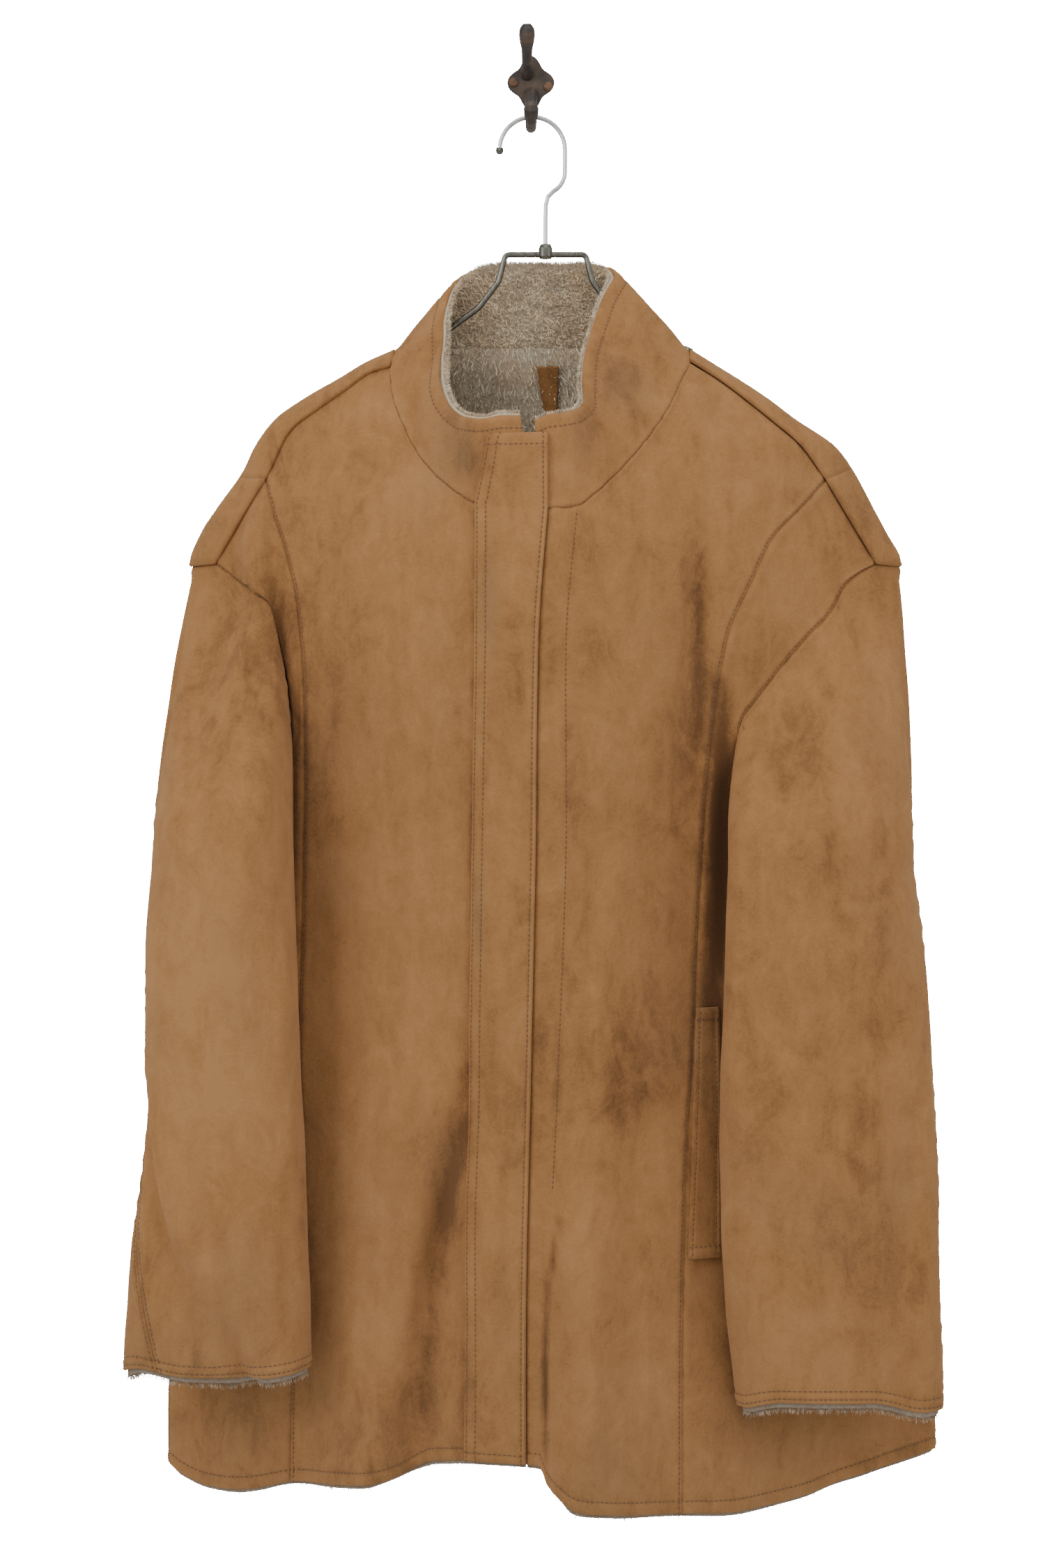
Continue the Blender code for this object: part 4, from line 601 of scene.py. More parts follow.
def distances(grid):
    """Distance of each point from the grid's left, right, low and top edges."""
    step_x = np.linalg.norm(np.diff(grid.points, axis=1), axis=-1)
    step_z = np.linalg.norm(np.diff(grid.points, axis=0), axis=-1)
    left = np.concatenate([np.zeros((len(step_x), 1)), np.cumsum(step_x, axis=1)], axis=1)
    low = np.concatenate([np.zeros((1, step_z.shape[1])), np.cumsum(step_z, axis=0)], axis=0)
    return {"left": left, "right": left[:, -1:] - left, "low": low, "top": low[-1:] - low}


def quads(index):
    """Faces between the rows and columns of an array of point numbers."""
    a, b, c, d = index[:-1, :-1], index[:-1, 1:], index[1:, 1:], index[1:, :-1]
    return np.stack([a, b, c, d], axis=-1).reshape(-1, 4)


def mesh_piece(name, points, faces, finish, values=None):
    """A mesh object from arrays. values are named numbers at each point."""
    mesh = bpy.data.meshes.new(name)
    mesh.vertices.add(len(points))
    mesh.vertices.foreach_set("co", np.asarray(points, np.float32).ravel())
    faces = np.asarray(faces, np.int32)
    mesh.loops.add(faces.size)
    mesh.loops.foreach_set("vertex_index", faces.ravel())
    mesh.polygons.add(len(faces))
    starts = np.arange(0, faces.size, faces.shape[1], dtype=np.int32)
    mesh.polygons.foreach_set("loop_start", starts)
    mesh.update(calc_edges=True)
    for key, value in (values or {}).items():
        mesh.attributes.new(key, "FLOAT", "POINT").data.foreach_set(
            "value", np.asarray(value, np.float32).ravel())
    mesh.shade_smooth()
    mesh.materials.append(finish)
    made = bpy.data.objects.new(name, mesh)
    bpy.context.scene.collection.objects.link(made)
    return made


def edge_ring(outer, inner, closed):
    """The ring between the two layers, round the whole edge, pushed out a little."""
    middle = (outer + inner) / 2

    def out_of(edge, next_in):
        return edge + unit(edge - next_in) * BULGE

    ring = np.pad(middle, ((1, 1), (1, 1), (0, 0)), mode="edge")
    ring[0, 1:-1] = out_of(middle[0], middle[1])
    ring[-1, 1:-1] = out_of(middle[-1], middle[-2])
    if not closed:
        ring[1:-1, 0] = out_of(middle[:, 0], middle[:, 1])
        ring[1:-1, -1] = out_of(middle[:, -1], middle[:, -2])
        for j, k in ((0, 1), (-1, -2)):
            for i, m in ((0, 1), (-1, -2)):
                ring[j, i] = ring[j, m] + ring[k, i] - ring[k, m]
    return ring


def wall(name, outer, inner, finish, values=None, closed=False, face_out=1, plain_top=False):
    """A closed wall between two layers of points with the same rows and columns.

    With plain_top its last row meets its neighbour without a soft edge, so that seam shows less.
    """
    rows, columns = outer.shape[:2]
    count = rows * columns
    ring = edge_ring(outer, inner, closed)
    index = np.full((rows + 2, columns + 2), -1)
    index[1:-1, 1:-1] = np.arange(count).reshape(rows, columns)
    border = index < 0
    if closed:
        border[:, [0, -1]] = False
    index[border] = 2 * count + np.arange(border.sum())
    inside = index.copy()
    inside[1:-1, 1:-1] += count
    if closed:
        index, inside = (np.concatenate([k[:, 1:-1], k[:, 1:2]], axis=1) for k in (index, inside))
    points = np.concatenate([outer.reshape(-1, 3), inner.reshape(-1, 3), ring[border]])
    faces = np.concatenate([quads(index), quads(inside)[:, ::-1]])
    if face_out < 0:
        faces = faces[:, ::-1]
    stored = {}
    for key, value in (values or {}).items():
        padded = np.pad(np.broadcast_to(value, (rows, columns)), 1, mode="edge")
        flat = np.broadcast_to(value, (rows, columns)).ravel()
        stored[key] = np.concatenate([flat, flat, padded[border]])
    made = mesh_piece(name, points, faces, finish, stored)
    if plain_top:
        ends = np.zeros(2 * len(made.data.edges), np.int32)
        made.data.edges.foreach_get("vertices", ends)
        in_row = (ends >= count - columns) & (ends < count)
        made.data.attributes.new("sharp_edge", "BOOLEAN", "EDGE").data.foreach_set(
            "value", in_row.reshape(-1, 2).all(axis=1))
    return made


def cloth(name, grid, finish, relief, values, thick=SUEDE, lift=0.0, face_out=1, under=0.6,
          plain_top=False):
    """A piece of cloth on a grid. Its outer layer has the relief, its inner one a share of it."""
    outer = grid.points + grid.normals * (lift + relief)[..., None]
    inner = grid.points + grid.normals * (lift - thick + under * relief)[..., None]
    return wall(name, outer, inner, finish, values, face_out=face_out, plain_top=plain_top)


print("cloth wall:", SUEDE / MM, "mm")

# %% [markdown]
# ## Finishes
#
# A finish is a tree of nodes. Sums on values are easier to read as formulas, so a small class wraps
# a socket and gives it +, - and *. Every other node comes from one method.

# %% Node trees from formulas
class Value:
    """A number in a node tree, as an output socket. Sums on it add Math nodes."""

    def __init__(self, tree, socket):
        self.tree, self.socket = tree, socket

    def _sum(self, operation, first, second):
        return self.tree.node("ShaderNodeMath", {"operation": operation}, {0: first, 1: second})

    def __add__(self, other):
        return self._sum("ADD", self, other)

    def __sub__(self, other):
        return self._sum("SUBTRACT", self, other)

    def __mul__(self, other):
        return self._sum("MULTIPLY", self, other)

    __radd__ = __add__

    def limited(self):
        return self.tree.node("ShaderNodeClamp", {}, {"Value": self})


class Tree:
    """A shader or geometry tree with one method that adds a node."""

    def __init__(self, tree):
        self.tree = tree

    def node(self, kind, settings, inputs, output=0):
        made = self.tree.nodes.new(kind)
        for key, value in settings.items():
            if key == "stops":
                ramp = made.color_ramp
                while len(ramp.elements) < len(value):
                    ramp.elements.new(0.5)
                for element, (place, colour) in zip(ramp.elements, value):
                    element.position, element.color = place, (*colour, 1)
            else:
                setattr(made, key, value)
        for key, value in inputs.items():
            if isinstance(value, Value):
                self.tree.links.new(value.socket, made.inputs[key])
            else:
                made.inputs[key].default_value = value
        return Value(self, made.outputs[output])

    def into(self, value, socket):
        self.tree.links.new(value.socket, socket)


class Finish(Tree):
    """A material: its principled shader, and the patterns that feed it."""

    def __init__(self, name, **fixed):
        self.material = bpy.data.materials.new(name)
        self.material.use_nodes = True
        super().__init__(self.material.node_tree)
        self.shader = self.tree.nodes["Principled BSDF"]
        for key, value in fixed.items():
            self.shader.inputs[key.replace("_", " ")].default_value = value
        self.place = self.node("ShaderNodeTexCoord", {}, {}, output="Object")

    def noise(self, scale, detail=3.0, stretch=(1, 1, 1), rough=0.5, turn=(0, 0, 0), bend=0.0):
        spot = self.node("ShaderNodeMapping", {},
                         {"Vector": self.place, "Scale": stretch, "Rotation": turn})
        return self.node("ShaderNodeTexNoise", {}, {
            "Vector": spot, "Scale": scale, "Detail": detail, "Roughness": rough,
            "Distortion": bend})

    def stored(self, name):
        return self.node("ShaderNodeAttribute", {"attribute_name": name}, {}, output="Fac")

    def ramp(self, value, *stops):
        return self.node("ShaderNodeValToRGB", {"stops": stops}, {"Fac": value})

    def blend(self, share, first, second):
        return self.node("ShaderNodeMix", {"data_type": "RGBA", "blend_type": "MIX"},
                         {"Factor": share, 6: first, 7: second}, output=2)

    def bump(self, height, depth):
        return self.node("ShaderNodeBump", {},
                         {"Height": height, "Distance": depth, "Strength": 1.0})

    def feed(self, **sockets):
        for key, value in sockets.items():
            self.into(value, self.shader.inputs[key.replace("_", " ")])


# %% [markdown]
# The suede is a matt nap that is never one colour. Fingers brush it light or dark in soft patches as
# large as a hand, and finer ones inside those. The patches are noise, long in the brushing's
# direction, and the ones that stand out are placed one by one through the stored number "brush". The
# surface itself is a fine fleece, which is bump.
# The same stored number also carries painted shade, in the valleys of folds and beside what lies on
# the cloth, and where it passes 1 it paints near-black shadow.

# %% Suede
LIGHT_TAN, MID_TAN, DARK_TAN = (0.410, 0.208, 0.082), (0.325, 0.154, 0.054), (0.150, 0.066, 0.024)
GREY_TAN, SHADOW_BROWN = (0.235, 0.150, 0.080), (0.030, 0.013, 0.005)


def suede_finish():
    f = Finish("suede", Roughness=0.95, Sheen_Weight=0.30, Sheen_Roughness=0.55,
               Sheen_Tint=(0.85, 0.55, 0.33, 1), Specular_IOR_Level=0.12)
    broad = f.noise(6.0, 3.0, (1.2, 1.0, 0.75), 0.55, bend=0.6)
    patch = f.noise(26.0, 6.0, (1.3, 1.0, 0.8), 0.68, bend=1.2)
    blot = f.noise(75.0, 5.0, (1.0, 1.0, 0.8), 0.66, bend=0.9)
    streak = f.noise(70.0, 4.0, (1.0, 1.0, 0.22), 0.6, turn=(0, 0.14, 0), bend=0.3)
    grain = f.noise(480.0, 4.0, rough=0.6)
    nap = f.noise(1800.0, 2.0)
    tone = (broad - 0.5) * 1.0 + (patch - 0.5) * 1.0 + (blot - 0.5) * 0.6 + (streak - 0.5) * 0.6
    tone = tone + (grain - 0.5) * 0.42 + (nap - 0.5) * 0.22
    # The stored number brush darkens the tone: the nap's brushed patches, and painted shade in folds
    # and beside what lies on the cloth
    tone = (0.62 + tone - f.stored("brush") * 0.55 - f.stored("seam") * 0.20).limited()
    colour = f.ramp(tone, (0.0, DARK_TAN), (0.5, MID_TAN), (1.0, LIGHT_TAN))
    grey = f.noise(11.0, 2.0, (1.0, 1.0, 0.6), bend=0.4)
    grey = ((grey - 0.52) * 2.2).limited() * 0.35 + f.stored("grey") * 0.6
    colour = f.blend(grey.limited(), colour, (*GREY_TAN, 1))
    # Where brush passes 1 the colour goes on towards a near-black brown: painted deep shadow
    deep = (f.stored("brush") - 1.0).limited() * 0.85
    colour = f.blend(deep, colour, (*SHADOW_BROWN, 1))
    f.feed(Base_Color=colour)
    f.feed(Normal=f.bump((grain - 0.5) * 1.1 + (nap - 0.5) * 0.5 + (blot - 0.5) * 1.5, 0.5 * MM))
    return f.material


SUEDE_LOOK = suede_finish()
print("finish:", SUEDE_LOOK.name)

# %% [markdown]
# The fur is a fine grey-brown pile. Each hair is dark at its root and pale at its tip, and hairs
# in one patch are browner than in the next. The hairs are real geometry; under them lies a plain
# ground in the colour of their roots.

# %% Fur, thread and metals
# The neck's copy of the fur is painted paler than the lining's, to stand in for light that the
# shaded back of the neck lacks
LINING, NECK_PAINTED_PALE, EDGING = table("root pale brown", [
    ((0.38, 0.305, 0.225), (1.0, 0.86, 0.62), (0.84, 0.64, 0.42)),
    ((0.47, 0.38, 0.275), (1.0, 0.94, 0.76), (1.0, 0.80, 0.56)),
    ((0.17, 0.128, 0.090), (0.62, 0.52, 0.41), (0.40, 0.30, 0.21)),
])


def fur_finish(name, pile, ground=False):
    f = Finish(name, Roughness=1.0, Sheen_Weight=0.15, Specular_IOR_Level=0.1)
    patch = f.noise(38.0, 3.0, bend=0.8)
    fine = f.noise(420.0, 2.0)
    lock = f.noise(80.0, 4.0, (1.0, 1.0, 2.4), 0.6, bend=0.8)
    tip = f.blend(((patch - 0.40) * 3.0).limited(), (*pile.pale, 1), (*pile.brown, 1))
    if ground:
        share = (fine * 0.5).limited()
    else:
        share = (0.12 + f.stored("tip") * 0.95 + (fine - 0.5) * 0.6 + (lock - 0.5) * 3.0).limited()
    f.feed(Base_Color=f.blend(share, (*pile.root, 1), tip))
    f.feed(Normal=f.bump(fine, 0.6 * MM))
    return f.material


def thread_finish():
    f = Finish("thread", Roughness=0.7, Sheen_Weight=0.2)
    twist = f.noise(900.0, 1.0)
    f.feed(Base_Color=f.ramp(twist, (0.3, (0.105, 0.050, 0.021)), (0.7, (0.20, 0.100, 0.042))))
    return f.material


def steel_finish(name, low, high):
    f = Finish(name, Metallic=1.0)
    brush = f.noise(900.0, 2.0, (1.0, 1.0, 0.15))
    f.feed(Base_Color=f.ramp(brush, (0.2, low), (0.8, high)))
    f.feed(Roughness=0.26 + brush * 0.22)
    f.feed(Normal=f.bump(brush, 0.05 * MM))
    return f.material


def iron_finish(name, dark, worn, wear):
    f = Finish(name, Metallic=0.75)
    cast = f.noise(420.0, 4.0, rough=0.6)
    rubbed = f.noise(60.0, 3.0, bend=0.5)
    share = ((rubbed - 0.5) * 2.2 + wear + (cast - 0.5) * 0.6).limited()
    f.feed(Base_Color=f.blend(share, (*dark, 1), (*worn, 1)))
    f.feed(Roughness=0.40 + cast * 0.3)
    f.feed(Normal=f.bump(cast, 0.25 * MM))
    return f.material


FUR_LOOK = fur_finish("fur", LINING)
FUR_GROUND = fur_finish("fur_ground", LINING, ground=True)
# The back of the neck gets the paler copy of the fur: painted light
NECK_LOOK = fur_finish("neck_fur", NECK_PAINTED_PALE)
NECK_GROUND = fur_finish("neck_ground", NECK_PAINTED_PALE, ground=True)
EDGE_LOOK = fur_finish("edge_fur", EDGING)
EDGE_GROUND = fur_finish("edge_ground", EDGING, ground=True)
THREAD_LOOK = thread_finish()
STEEL_LOOK = steel_finish("brushed_steel", (0.085, 0.081, 0.068), (0.235, 0.225, 0.190))
# The hook is the same steel as the frame, painted much lighter: a painted highlight for the strong
# light it catches
HOOK_STEEL = steel_finish("polished_steel", (0.50, 0.50, 0.49), (0.80, 0.80, 0.79))
IRON_LOOK = iron_finish("cast_iron", (0.055, 0.052, 0.052), (0.165, 0.112, 0.076), 0.36)
SCREW_LOOK = iron_finish("browned_steel", (0.060, 0.036, 0.024), (0.26, 0.15, 0.09), 0.55)
print("finishes:", len(bpy.data.materials))

# %% [markdown]
# Patches that the photograph shows darker or greyer than the rest, each a soft oval. They are read
# by place, on the body's front and on the sleeves alike.
# Most are the nap's own patches; a few are painted shade, as in the trough low on the left front and
# in the corner left of the flap's top.

# %% Brushed patches and painted shade: place, half width and height in metres, how dark, how grey
BRUSHED_AND_SHADED = table("x z wide high dark grey", [
    (0.083, -0.717, 0.034, 0.053, 0.55, 0.00),
    (0.058, -0.764, 0.025, 0.031, 0.45, 0.00),
    (0.096, -0.543, 0.025, 0.062, 0.50, 0.00),
    (0.035, -0.453, 0.018, 0.024, 0.40, 0.00),
    (0.002, -0.445, 0.008, 0.034, 0.30, 0.00),
    (0.021, -0.537, 0.012, 0.045, 0.40, 0.10),
    (0.114, -0.459, 0.015, 0.039, 0.40, 0.10),
    (-0.040, -0.408, 0.007, 0.039, 0.10, 0.60),
    (-0.048, -0.632, 0.004, 0.034, 0.20, 0.60),
    (-0.024, -0.459, 0.012, 0.034, 0.35, 0.10),
    (-0.158, -0.470, 0.025, 0.045, 0.12, 0.00),
    (-0.088, -0.363, 0.021, 0.022, 0.17, 0.00),
    (-0.139, -0.554, 0.034, 0.034, 0.08, 0.00),
    (-0.110, -0.403, 0.028, 0.022, 0.12, 0.00),
    # painted shade in the trough of the fold low on the left front
    (-0.077, -0.806, 0.015, 0.039, 0.17, 0.30),
    (-0.127, -0.873, 0.034, 0.039, 0.12, 0.10),
    (-0.074, -0.453, 0.012, 0.062, 0.17, 0.10),
    (-0.136, -0.722, 0.034, 0.050, 0.06, 0.00),
    (-0.099, -0.638, 0.034, 0.050, -0.25, 0.00),
    (-0.021, -0.571, 0.009, 0.034, -0.20, 0.00),
    (-0.234, -0.554, 0.028, 0.039, 0.23, 0.00),
    (-0.263, -0.655, 0.017, 0.034, 0.15, 0.00),
    (-0.223, -0.448, 0.022, 0.034, 0.17, 0.00),
    (-0.251, -0.420, 0.015, 0.028, 0.15, 0.00),
    (-0.270, -0.705, 0.012, 0.050, 0.15, 0.00),
    (-0.223, -0.761, 0.028, 0.067, -0.15, 0.05),
    (-0.189, -0.896, 0.017, 0.034, 0.07, 0.10),
    (0.178, -0.515, 0.025, 0.039, 0.60, 0.00),
    (0.192, -0.599, 0.031, 0.028, 0.45, 0.00),
    (0.237, -0.700, 0.017, 0.039, 0.40, 0.00),
    (0.223, -0.784, 0.012, 0.062, 0.35, 0.00),
    (0.147, -0.806, 0.015, 0.050, 0.30, 0.05),
    (0.161, -0.442, 0.015, 0.034, 0.30, 0.00),
    (0.254, -0.873, 0.022, 0.034, 0.30, 0.00),
    (0.187, -0.929, 0.028, 0.034, -0.20, 0.00),
    (0.243, -0.470, 0.015, 0.067, 0.20, 0.00),
    (0.109, -0.394, 0.015, 0.034, 0.45, 0.00),
    (0.178, -0.363, 0.013, 0.015, 0.30, 0.00),
    (-0.195, -0.851, 0.020, 0.045, -0.10, 0.00),
    (0.215, -0.537, 0.011, 0.056, -0.20, 0.00),
    (0.035, -0.369, 0.034, 0.034, 0.12, 0.00),
    (-0.155, -0.335, 0.017, 0.034, -0.10, 0.00),
    (0.069, -0.621, 0.022, 0.034, 0.20, 0.00),
    (0.024, -0.851, 0.017, 0.067, -0.20, 0.00),
    (0.102, -0.896, 0.017, 0.034, 0.25, 0.00),
    (0.136, -1.002, 0.034, 0.017, 0.30, 0.00),
    (0.220, -1.014, 0.034, 0.015, -0.15, 0.10),
    (-0.223, -1.002, 0.028, 0.017, 0.15, 0.00),
    (0.046, -0.974, 0.022, 0.028, -0.15, 0.00),
    (-0.032, -0.907, 0.010, 0.050, 0.20, 0.15),
    (-0.262, -0.896, 0.015, 0.039, 0.10, 0.00),
    (0.231, -0.403, 0.011, 0.022, -0.25, 0.00),
    (0.058, -0.246, 0.022, 0.022, 0.25, 0.35),
    (0.086, -0.291, 0.017, 0.022, -0.15, 0.00),
    (0.024, -0.291, 0.012, 0.017, 0.20, 0.30),
    # painted shade in the corner left of the flap's top
    (-0.056, -0.305, 0.012, 0.018, 0.70, 0.30),
    (-0.066, -0.285, 0.013, 0.034, 0.30, 0.35),
    (-0.077, -0.246, 0.010, 0.022, 0.12, 0.10),
    (-0.004, -0.717, 0.007, 0.050, 0.25, 0.10),
    (-0.024, -0.789, 0.010, 0.045, 0.20, 0.20),
    (-0.120, -0.470, 0.060, 0.110, -0.38, 0.00),
    (-0.235, -0.620, 0.045, 0.150, -0.42, 0.00),
    (-0.128, -0.890, 0.032, 0.090, -0.60, 0.00),
    (0.030, -0.285, 0.008, 0.028, 0.45, 0.10),
    (0.074, -0.262, 0.028, 0.050, 0.28, 0.00),
    (0.205, -0.560, 0.010, 0.090, 0.18, 0.00),
    (0.240, -0.600, 0.008, 0.070, 0.18, 0.00),
    (-0.150, -0.335, 0.030, 0.030, 0.10, 0.00),
])

# Painted shade in long strokes: in the valleys of folds, beside the sleeves' inner edges, beside the
# right front's fold edge and round the welt. Where dark passes 1 the suede paints near-black shadow
SHADES = table("x0 z0 x1 z1 width dark", [
    (-0.1975, -0.395, -0.1880, -0.610, 0.0070, 1.15),
    (-0.1900, -0.560, -0.1740, -0.960, 0.0060, 0.90),
    (0.1290, -0.480, 0.1240, -0.700, 0.0100, 1.80),
    (0.1270, -0.700, 0.1300, -0.880, 0.0040, 0.60),
    (0.1290, -0.860, 0.1420, -0.985, 0.0070, 0.65),
    (0.1125, -0.330, 0.1085, -0.530, 0.0048, 0.72),
    (-0.0570, -0.750, -0.0790, -0.900, 0.0080, 0.95),
    (-0.0790, -0.895, -0.0900, -0.995, 0.0080, 0.80),
    (0.0080, -0.845, -0.0008, -0.905, 0.0022, 1.10),
    (-0.0010, -0.905, -0.0016, -1.030, 0.0022, 1.30),
    (0.1000, -0.879, 0.1075, -0.700, 0.0016, 0.60),
    (0.1040, -0.882, 0.1260, -0.882, 0.0035, 0.80),
    (0.1100, -0.697, 0.1260, -0.697, 0.0030, 0.60),
])
# How much darker and greyer the nap is at the hem than at the chest, and from which height on
LOW_BROWN, LOW_GREY = 0.22, 0.18
LOW_STARTS, LOW_FADE = -0.78, 0.22


def brushed(x, z):
    """How dark and how grey the nap is at x and z. The darkness includes the shade painted through
    the table.
    """
    low = smooth((LOW_STARTS - z) / LOW_FADE)
    dark, grey = 0.0 * x + LOW_BROWN * low, 0.0 * x + LOW_GREY * low
    for b in BRUSHED_AND_SHADED:
        share = np.exp(-(((x - b.x) / b.wide) ** 2 + ((z - b.z) / b.high) ** 2) ** 1.3)
        dark, grey = dark + b.dark * share, grey + b.grey * share
    return dark, grey


def shaded(x, z, beside_flap=False):
    """How dark the painted shade of the long strokes makes the body's front."""
    dark = sum(s.dark * stroke(x, z, s) for s in SHADES)
    if beside_flap:
        # A painted contact shadow on the left front beside the flap's edge
        away = np.maximum(flap_edge(z) - x, 0.0)
        near = 0.7 * bell(away, 1.6 * MM) + 0.18 * bell(away, 6 * MM)
        dark = dark + np.where(x < flap_edge(z) + MM, near, 0.0)
    return dark


def seam_closeness(far, edges, stitches=(), top=1.0):
    """1 in a sewn edge's groove, 0.6 in a stitched furrow, and 0 a few millimetres away."""
    close = 0.0
    for edge in edges:
        share = top if edge == "top" else 1.0
        close = np.maximum(close, share * bell(far[edge], 1.4 * MM))
    for edge, inset, *_ in stitches:
        close = np.maximum(close, 0.6 * bell(far[edge] - inset, 0.9 * MM))
    return close


def nap(seam, dark=0.0, grey=0.0):
    """The three numbers that the suede reads at each point."""
    return {"seam": seam, "brush": dark, "grey": grey}


STITCH_LINES = []
SIDE_INSET, SEAM_INSET, HEM_INSET, FLY_INSET = 1.8 * MM, 2.6 * MM, 8.5 * MM, 22.0 * MM


def stitch_line(grid, relief, edge, inset, start=0.0, end=1.0):
    """Notes a row of stitches at a distance in from an edge, on the creased surface."""
    far = distances(grid)[edge]
    points = grid.points + grid.normals * relief[..., None]
    if edge in ("low", "top"):
        far, points, normals = far.T, points.transpose(1, 0, 2), grid.normals.transpose(1, 0, 2)
    else:
        normals = grid.normals
    if edge in ("right", "top"):
        far, points, normals = far[:, ::-1], points[:, ::-1], normals[:, ::-1]
    rows = range(int(start * len(far)), int(end * len(far)))
    both = np.concatenate([points, normals], axis=-1)
    found = [[np.interp(inset, far[r], both[r, :, k]) for k in range(6)] for r in rows]
    STITCH_LINES.append(np.array(found))


def topstitch(grid, far, relief, rows):
    """The relief with the furrows of rows of (edge, inset, start, end), which are also noted."""
    for edge, inset, *_ in rows:
        relief = relief + stitched(far[edge], inset)
    for row in rows:
        stitch_line(grid, relief, *row)
    return relief


print(len(BRUSHED_AND_SHADED), "brushed patches")

# %% [markdown]
# ## Fronts, sides and backs
#
# A maker cuts this body as seven panels: two fronts, two side fronts, a centre back and two side
# backs. Each function below makes one kind. The topstitching runs 2.6 mm beside each long seam and
# 8.5 mm above the hem.

# %% Body panels
PIECES = {}
TOP_FADE = 22 * MM  # creases fade out over this far below a panel's top
CLOSING_GAP = 1.2 * MM


def body_cloth(name, made, face, stitches):
    """One body panel. stitches are (edge, inset, start, end) rows of topstitching."""
    grid, x, z = made
    far = distances(grid)
    relief = creased(x, z, face) * smooth(far["top"] / TOP_FADE)
    relief = relief + rolled(far["left"], z) + rolled(far["right"], z)
    relief = relief + top_share(x) * rolled(far["top"], x) + 0.5 * rolled(far["low"], x)
    relief = topstitch(grid, far, relief, stitches)
    dark, grey = brushed(x, z)
    # Painted shade: the long strokes, and on the left front a contact shadow beside the flap's edge
    dark = dark + shaded(x, z, beside_flap=name == "front_left")
    seam = seam_closeness(far, ("left", "right", "top"), stitches, top_share(x))
    PIECES[name] = cloth(name + "_cloth", grid, SUEDE_LOOK, relief, nap(seam, dark, grey),
                         face_out=face, plain_top=name.endswith("left"))


LINE_STEPS = 6
NECK_COLUMNS = {name: Curve(range(len(NECK)), [getattr(n, name) for n in NECK])
                for name in ("x", "z", "edge_x", "edge_y", "edge_z")}


def neck_line(first, last):
    """(x, z) of the neck seam between two of its stations."""
    at = np.linspace(first, last, (last - first) * LINE_STEPS + 1)
    return np.stack([NECK_COLUMNS[name](at) for name in ("x", "z")], axis=-1)


def shoulder_line(side, start):
    """(x, z) of the shoulder seam, from where the collar ends to the princess seam."""
    rows = [(side * s.seam_x, float(ridge(side * s.seam_x)) - s.drop) for s in SHOULDER[:-1]]
    return line([start, *rows, (side * SHOULDER[-1].seam_x, PRINCESS_TOP_Z)], LINE_STEPS)


def right_front():
    neck = neck_line(0, RIGHT_SIDE)
    tops = np.vstack([neck, shoulder_line(1, tuple(neck[-1]))[1:]])
    return panel(1, tops, closing, princess[1])


def left_front():
    neck = neck_line(LEFT_SIDE, len(NECK) - 1)
    tops = np.vstack([shoulder_line(-1, tuple(neck[0]))[::-1], neck[1:]])
    return panel(1, tops, princess[-1], lambda z: closing(z) - CLOSING_GAP)


def front_edge(side):
    """x at a height along the armhole in front, and along the side seam below it."""
    return lambda z: side * np.where(z > UNDERARM, armhole[side](z), HALF[side](z))


def back_edge(side):
    """The same at the back."""
    return lambda z: side * np.where(z > UNDERARM, back_armhole[side](z), HALF[side](z))


def cap_line(side):
    """(x, z) of the shoulder seam, from the princess seam on to the armhole."""
    start = (side * SHOULDER[-1].seam_x, PRINCESS_TOP_Z)
    return line([start, (side * CAP_END.x, CAP_END.z)], 2 * LINE_STEPS)


def side_front(side):
    edges = [princess[side], front_edge(side)][::side]
    return panel(1, cap_line(side)[::side], *edges)


def back_panel_edge(side):
    return lambda z: side * back_princess(z)


HEM_ROW = ("low", HEM_INSET)
body_cloth("front_right", right_front(), 1,
           [("left", FLY_INSET, 0.30, 0.97), ("right", SEAM_INSET), HEM_ROW])
body_cloth("front_left", left_front(), 1, [("left", SEAM_INSET), HEM_ROW])
for side, word in SIDES:
    body_cloth(f"side_front_{word}", side_front(side), 1, [(word, SEAM_INSET, 0.0, 0.98), HEM_ROW])
print("front pieces:", sorted(PIECES))

# %% [markdown]
# The back panels come over the shoulder's ridge to a seam a little in front of it. So each has a
# main grid up to the ridge and a strip that goes on from it. The two share the ridge's points.

# %% Back panels with their shoulder strips
STRIP_ROWS = 9
RIDGE_FADE = 30 * MM  # creases fade out over this far below the ridge


def strip(ridge_line, seam_line):
    """From the ridge to the shoulder seam, as rows of (x, z) on the front of the form."""
    t = (np.arange(1, STRIP_ROWS + 1) / STRIP_ROWS)[:, None, None] ** 1.4
    return mix(ridge_line, seam_line, t)


def ridge_to(side, first_x, last_x, count):
    """The shoulder's ridge from one x to another, as (x, z)."""
    x = side * np.linspace(first_x, last_x, count)
    return np.stack([x, ridge(x)], axis=-1)


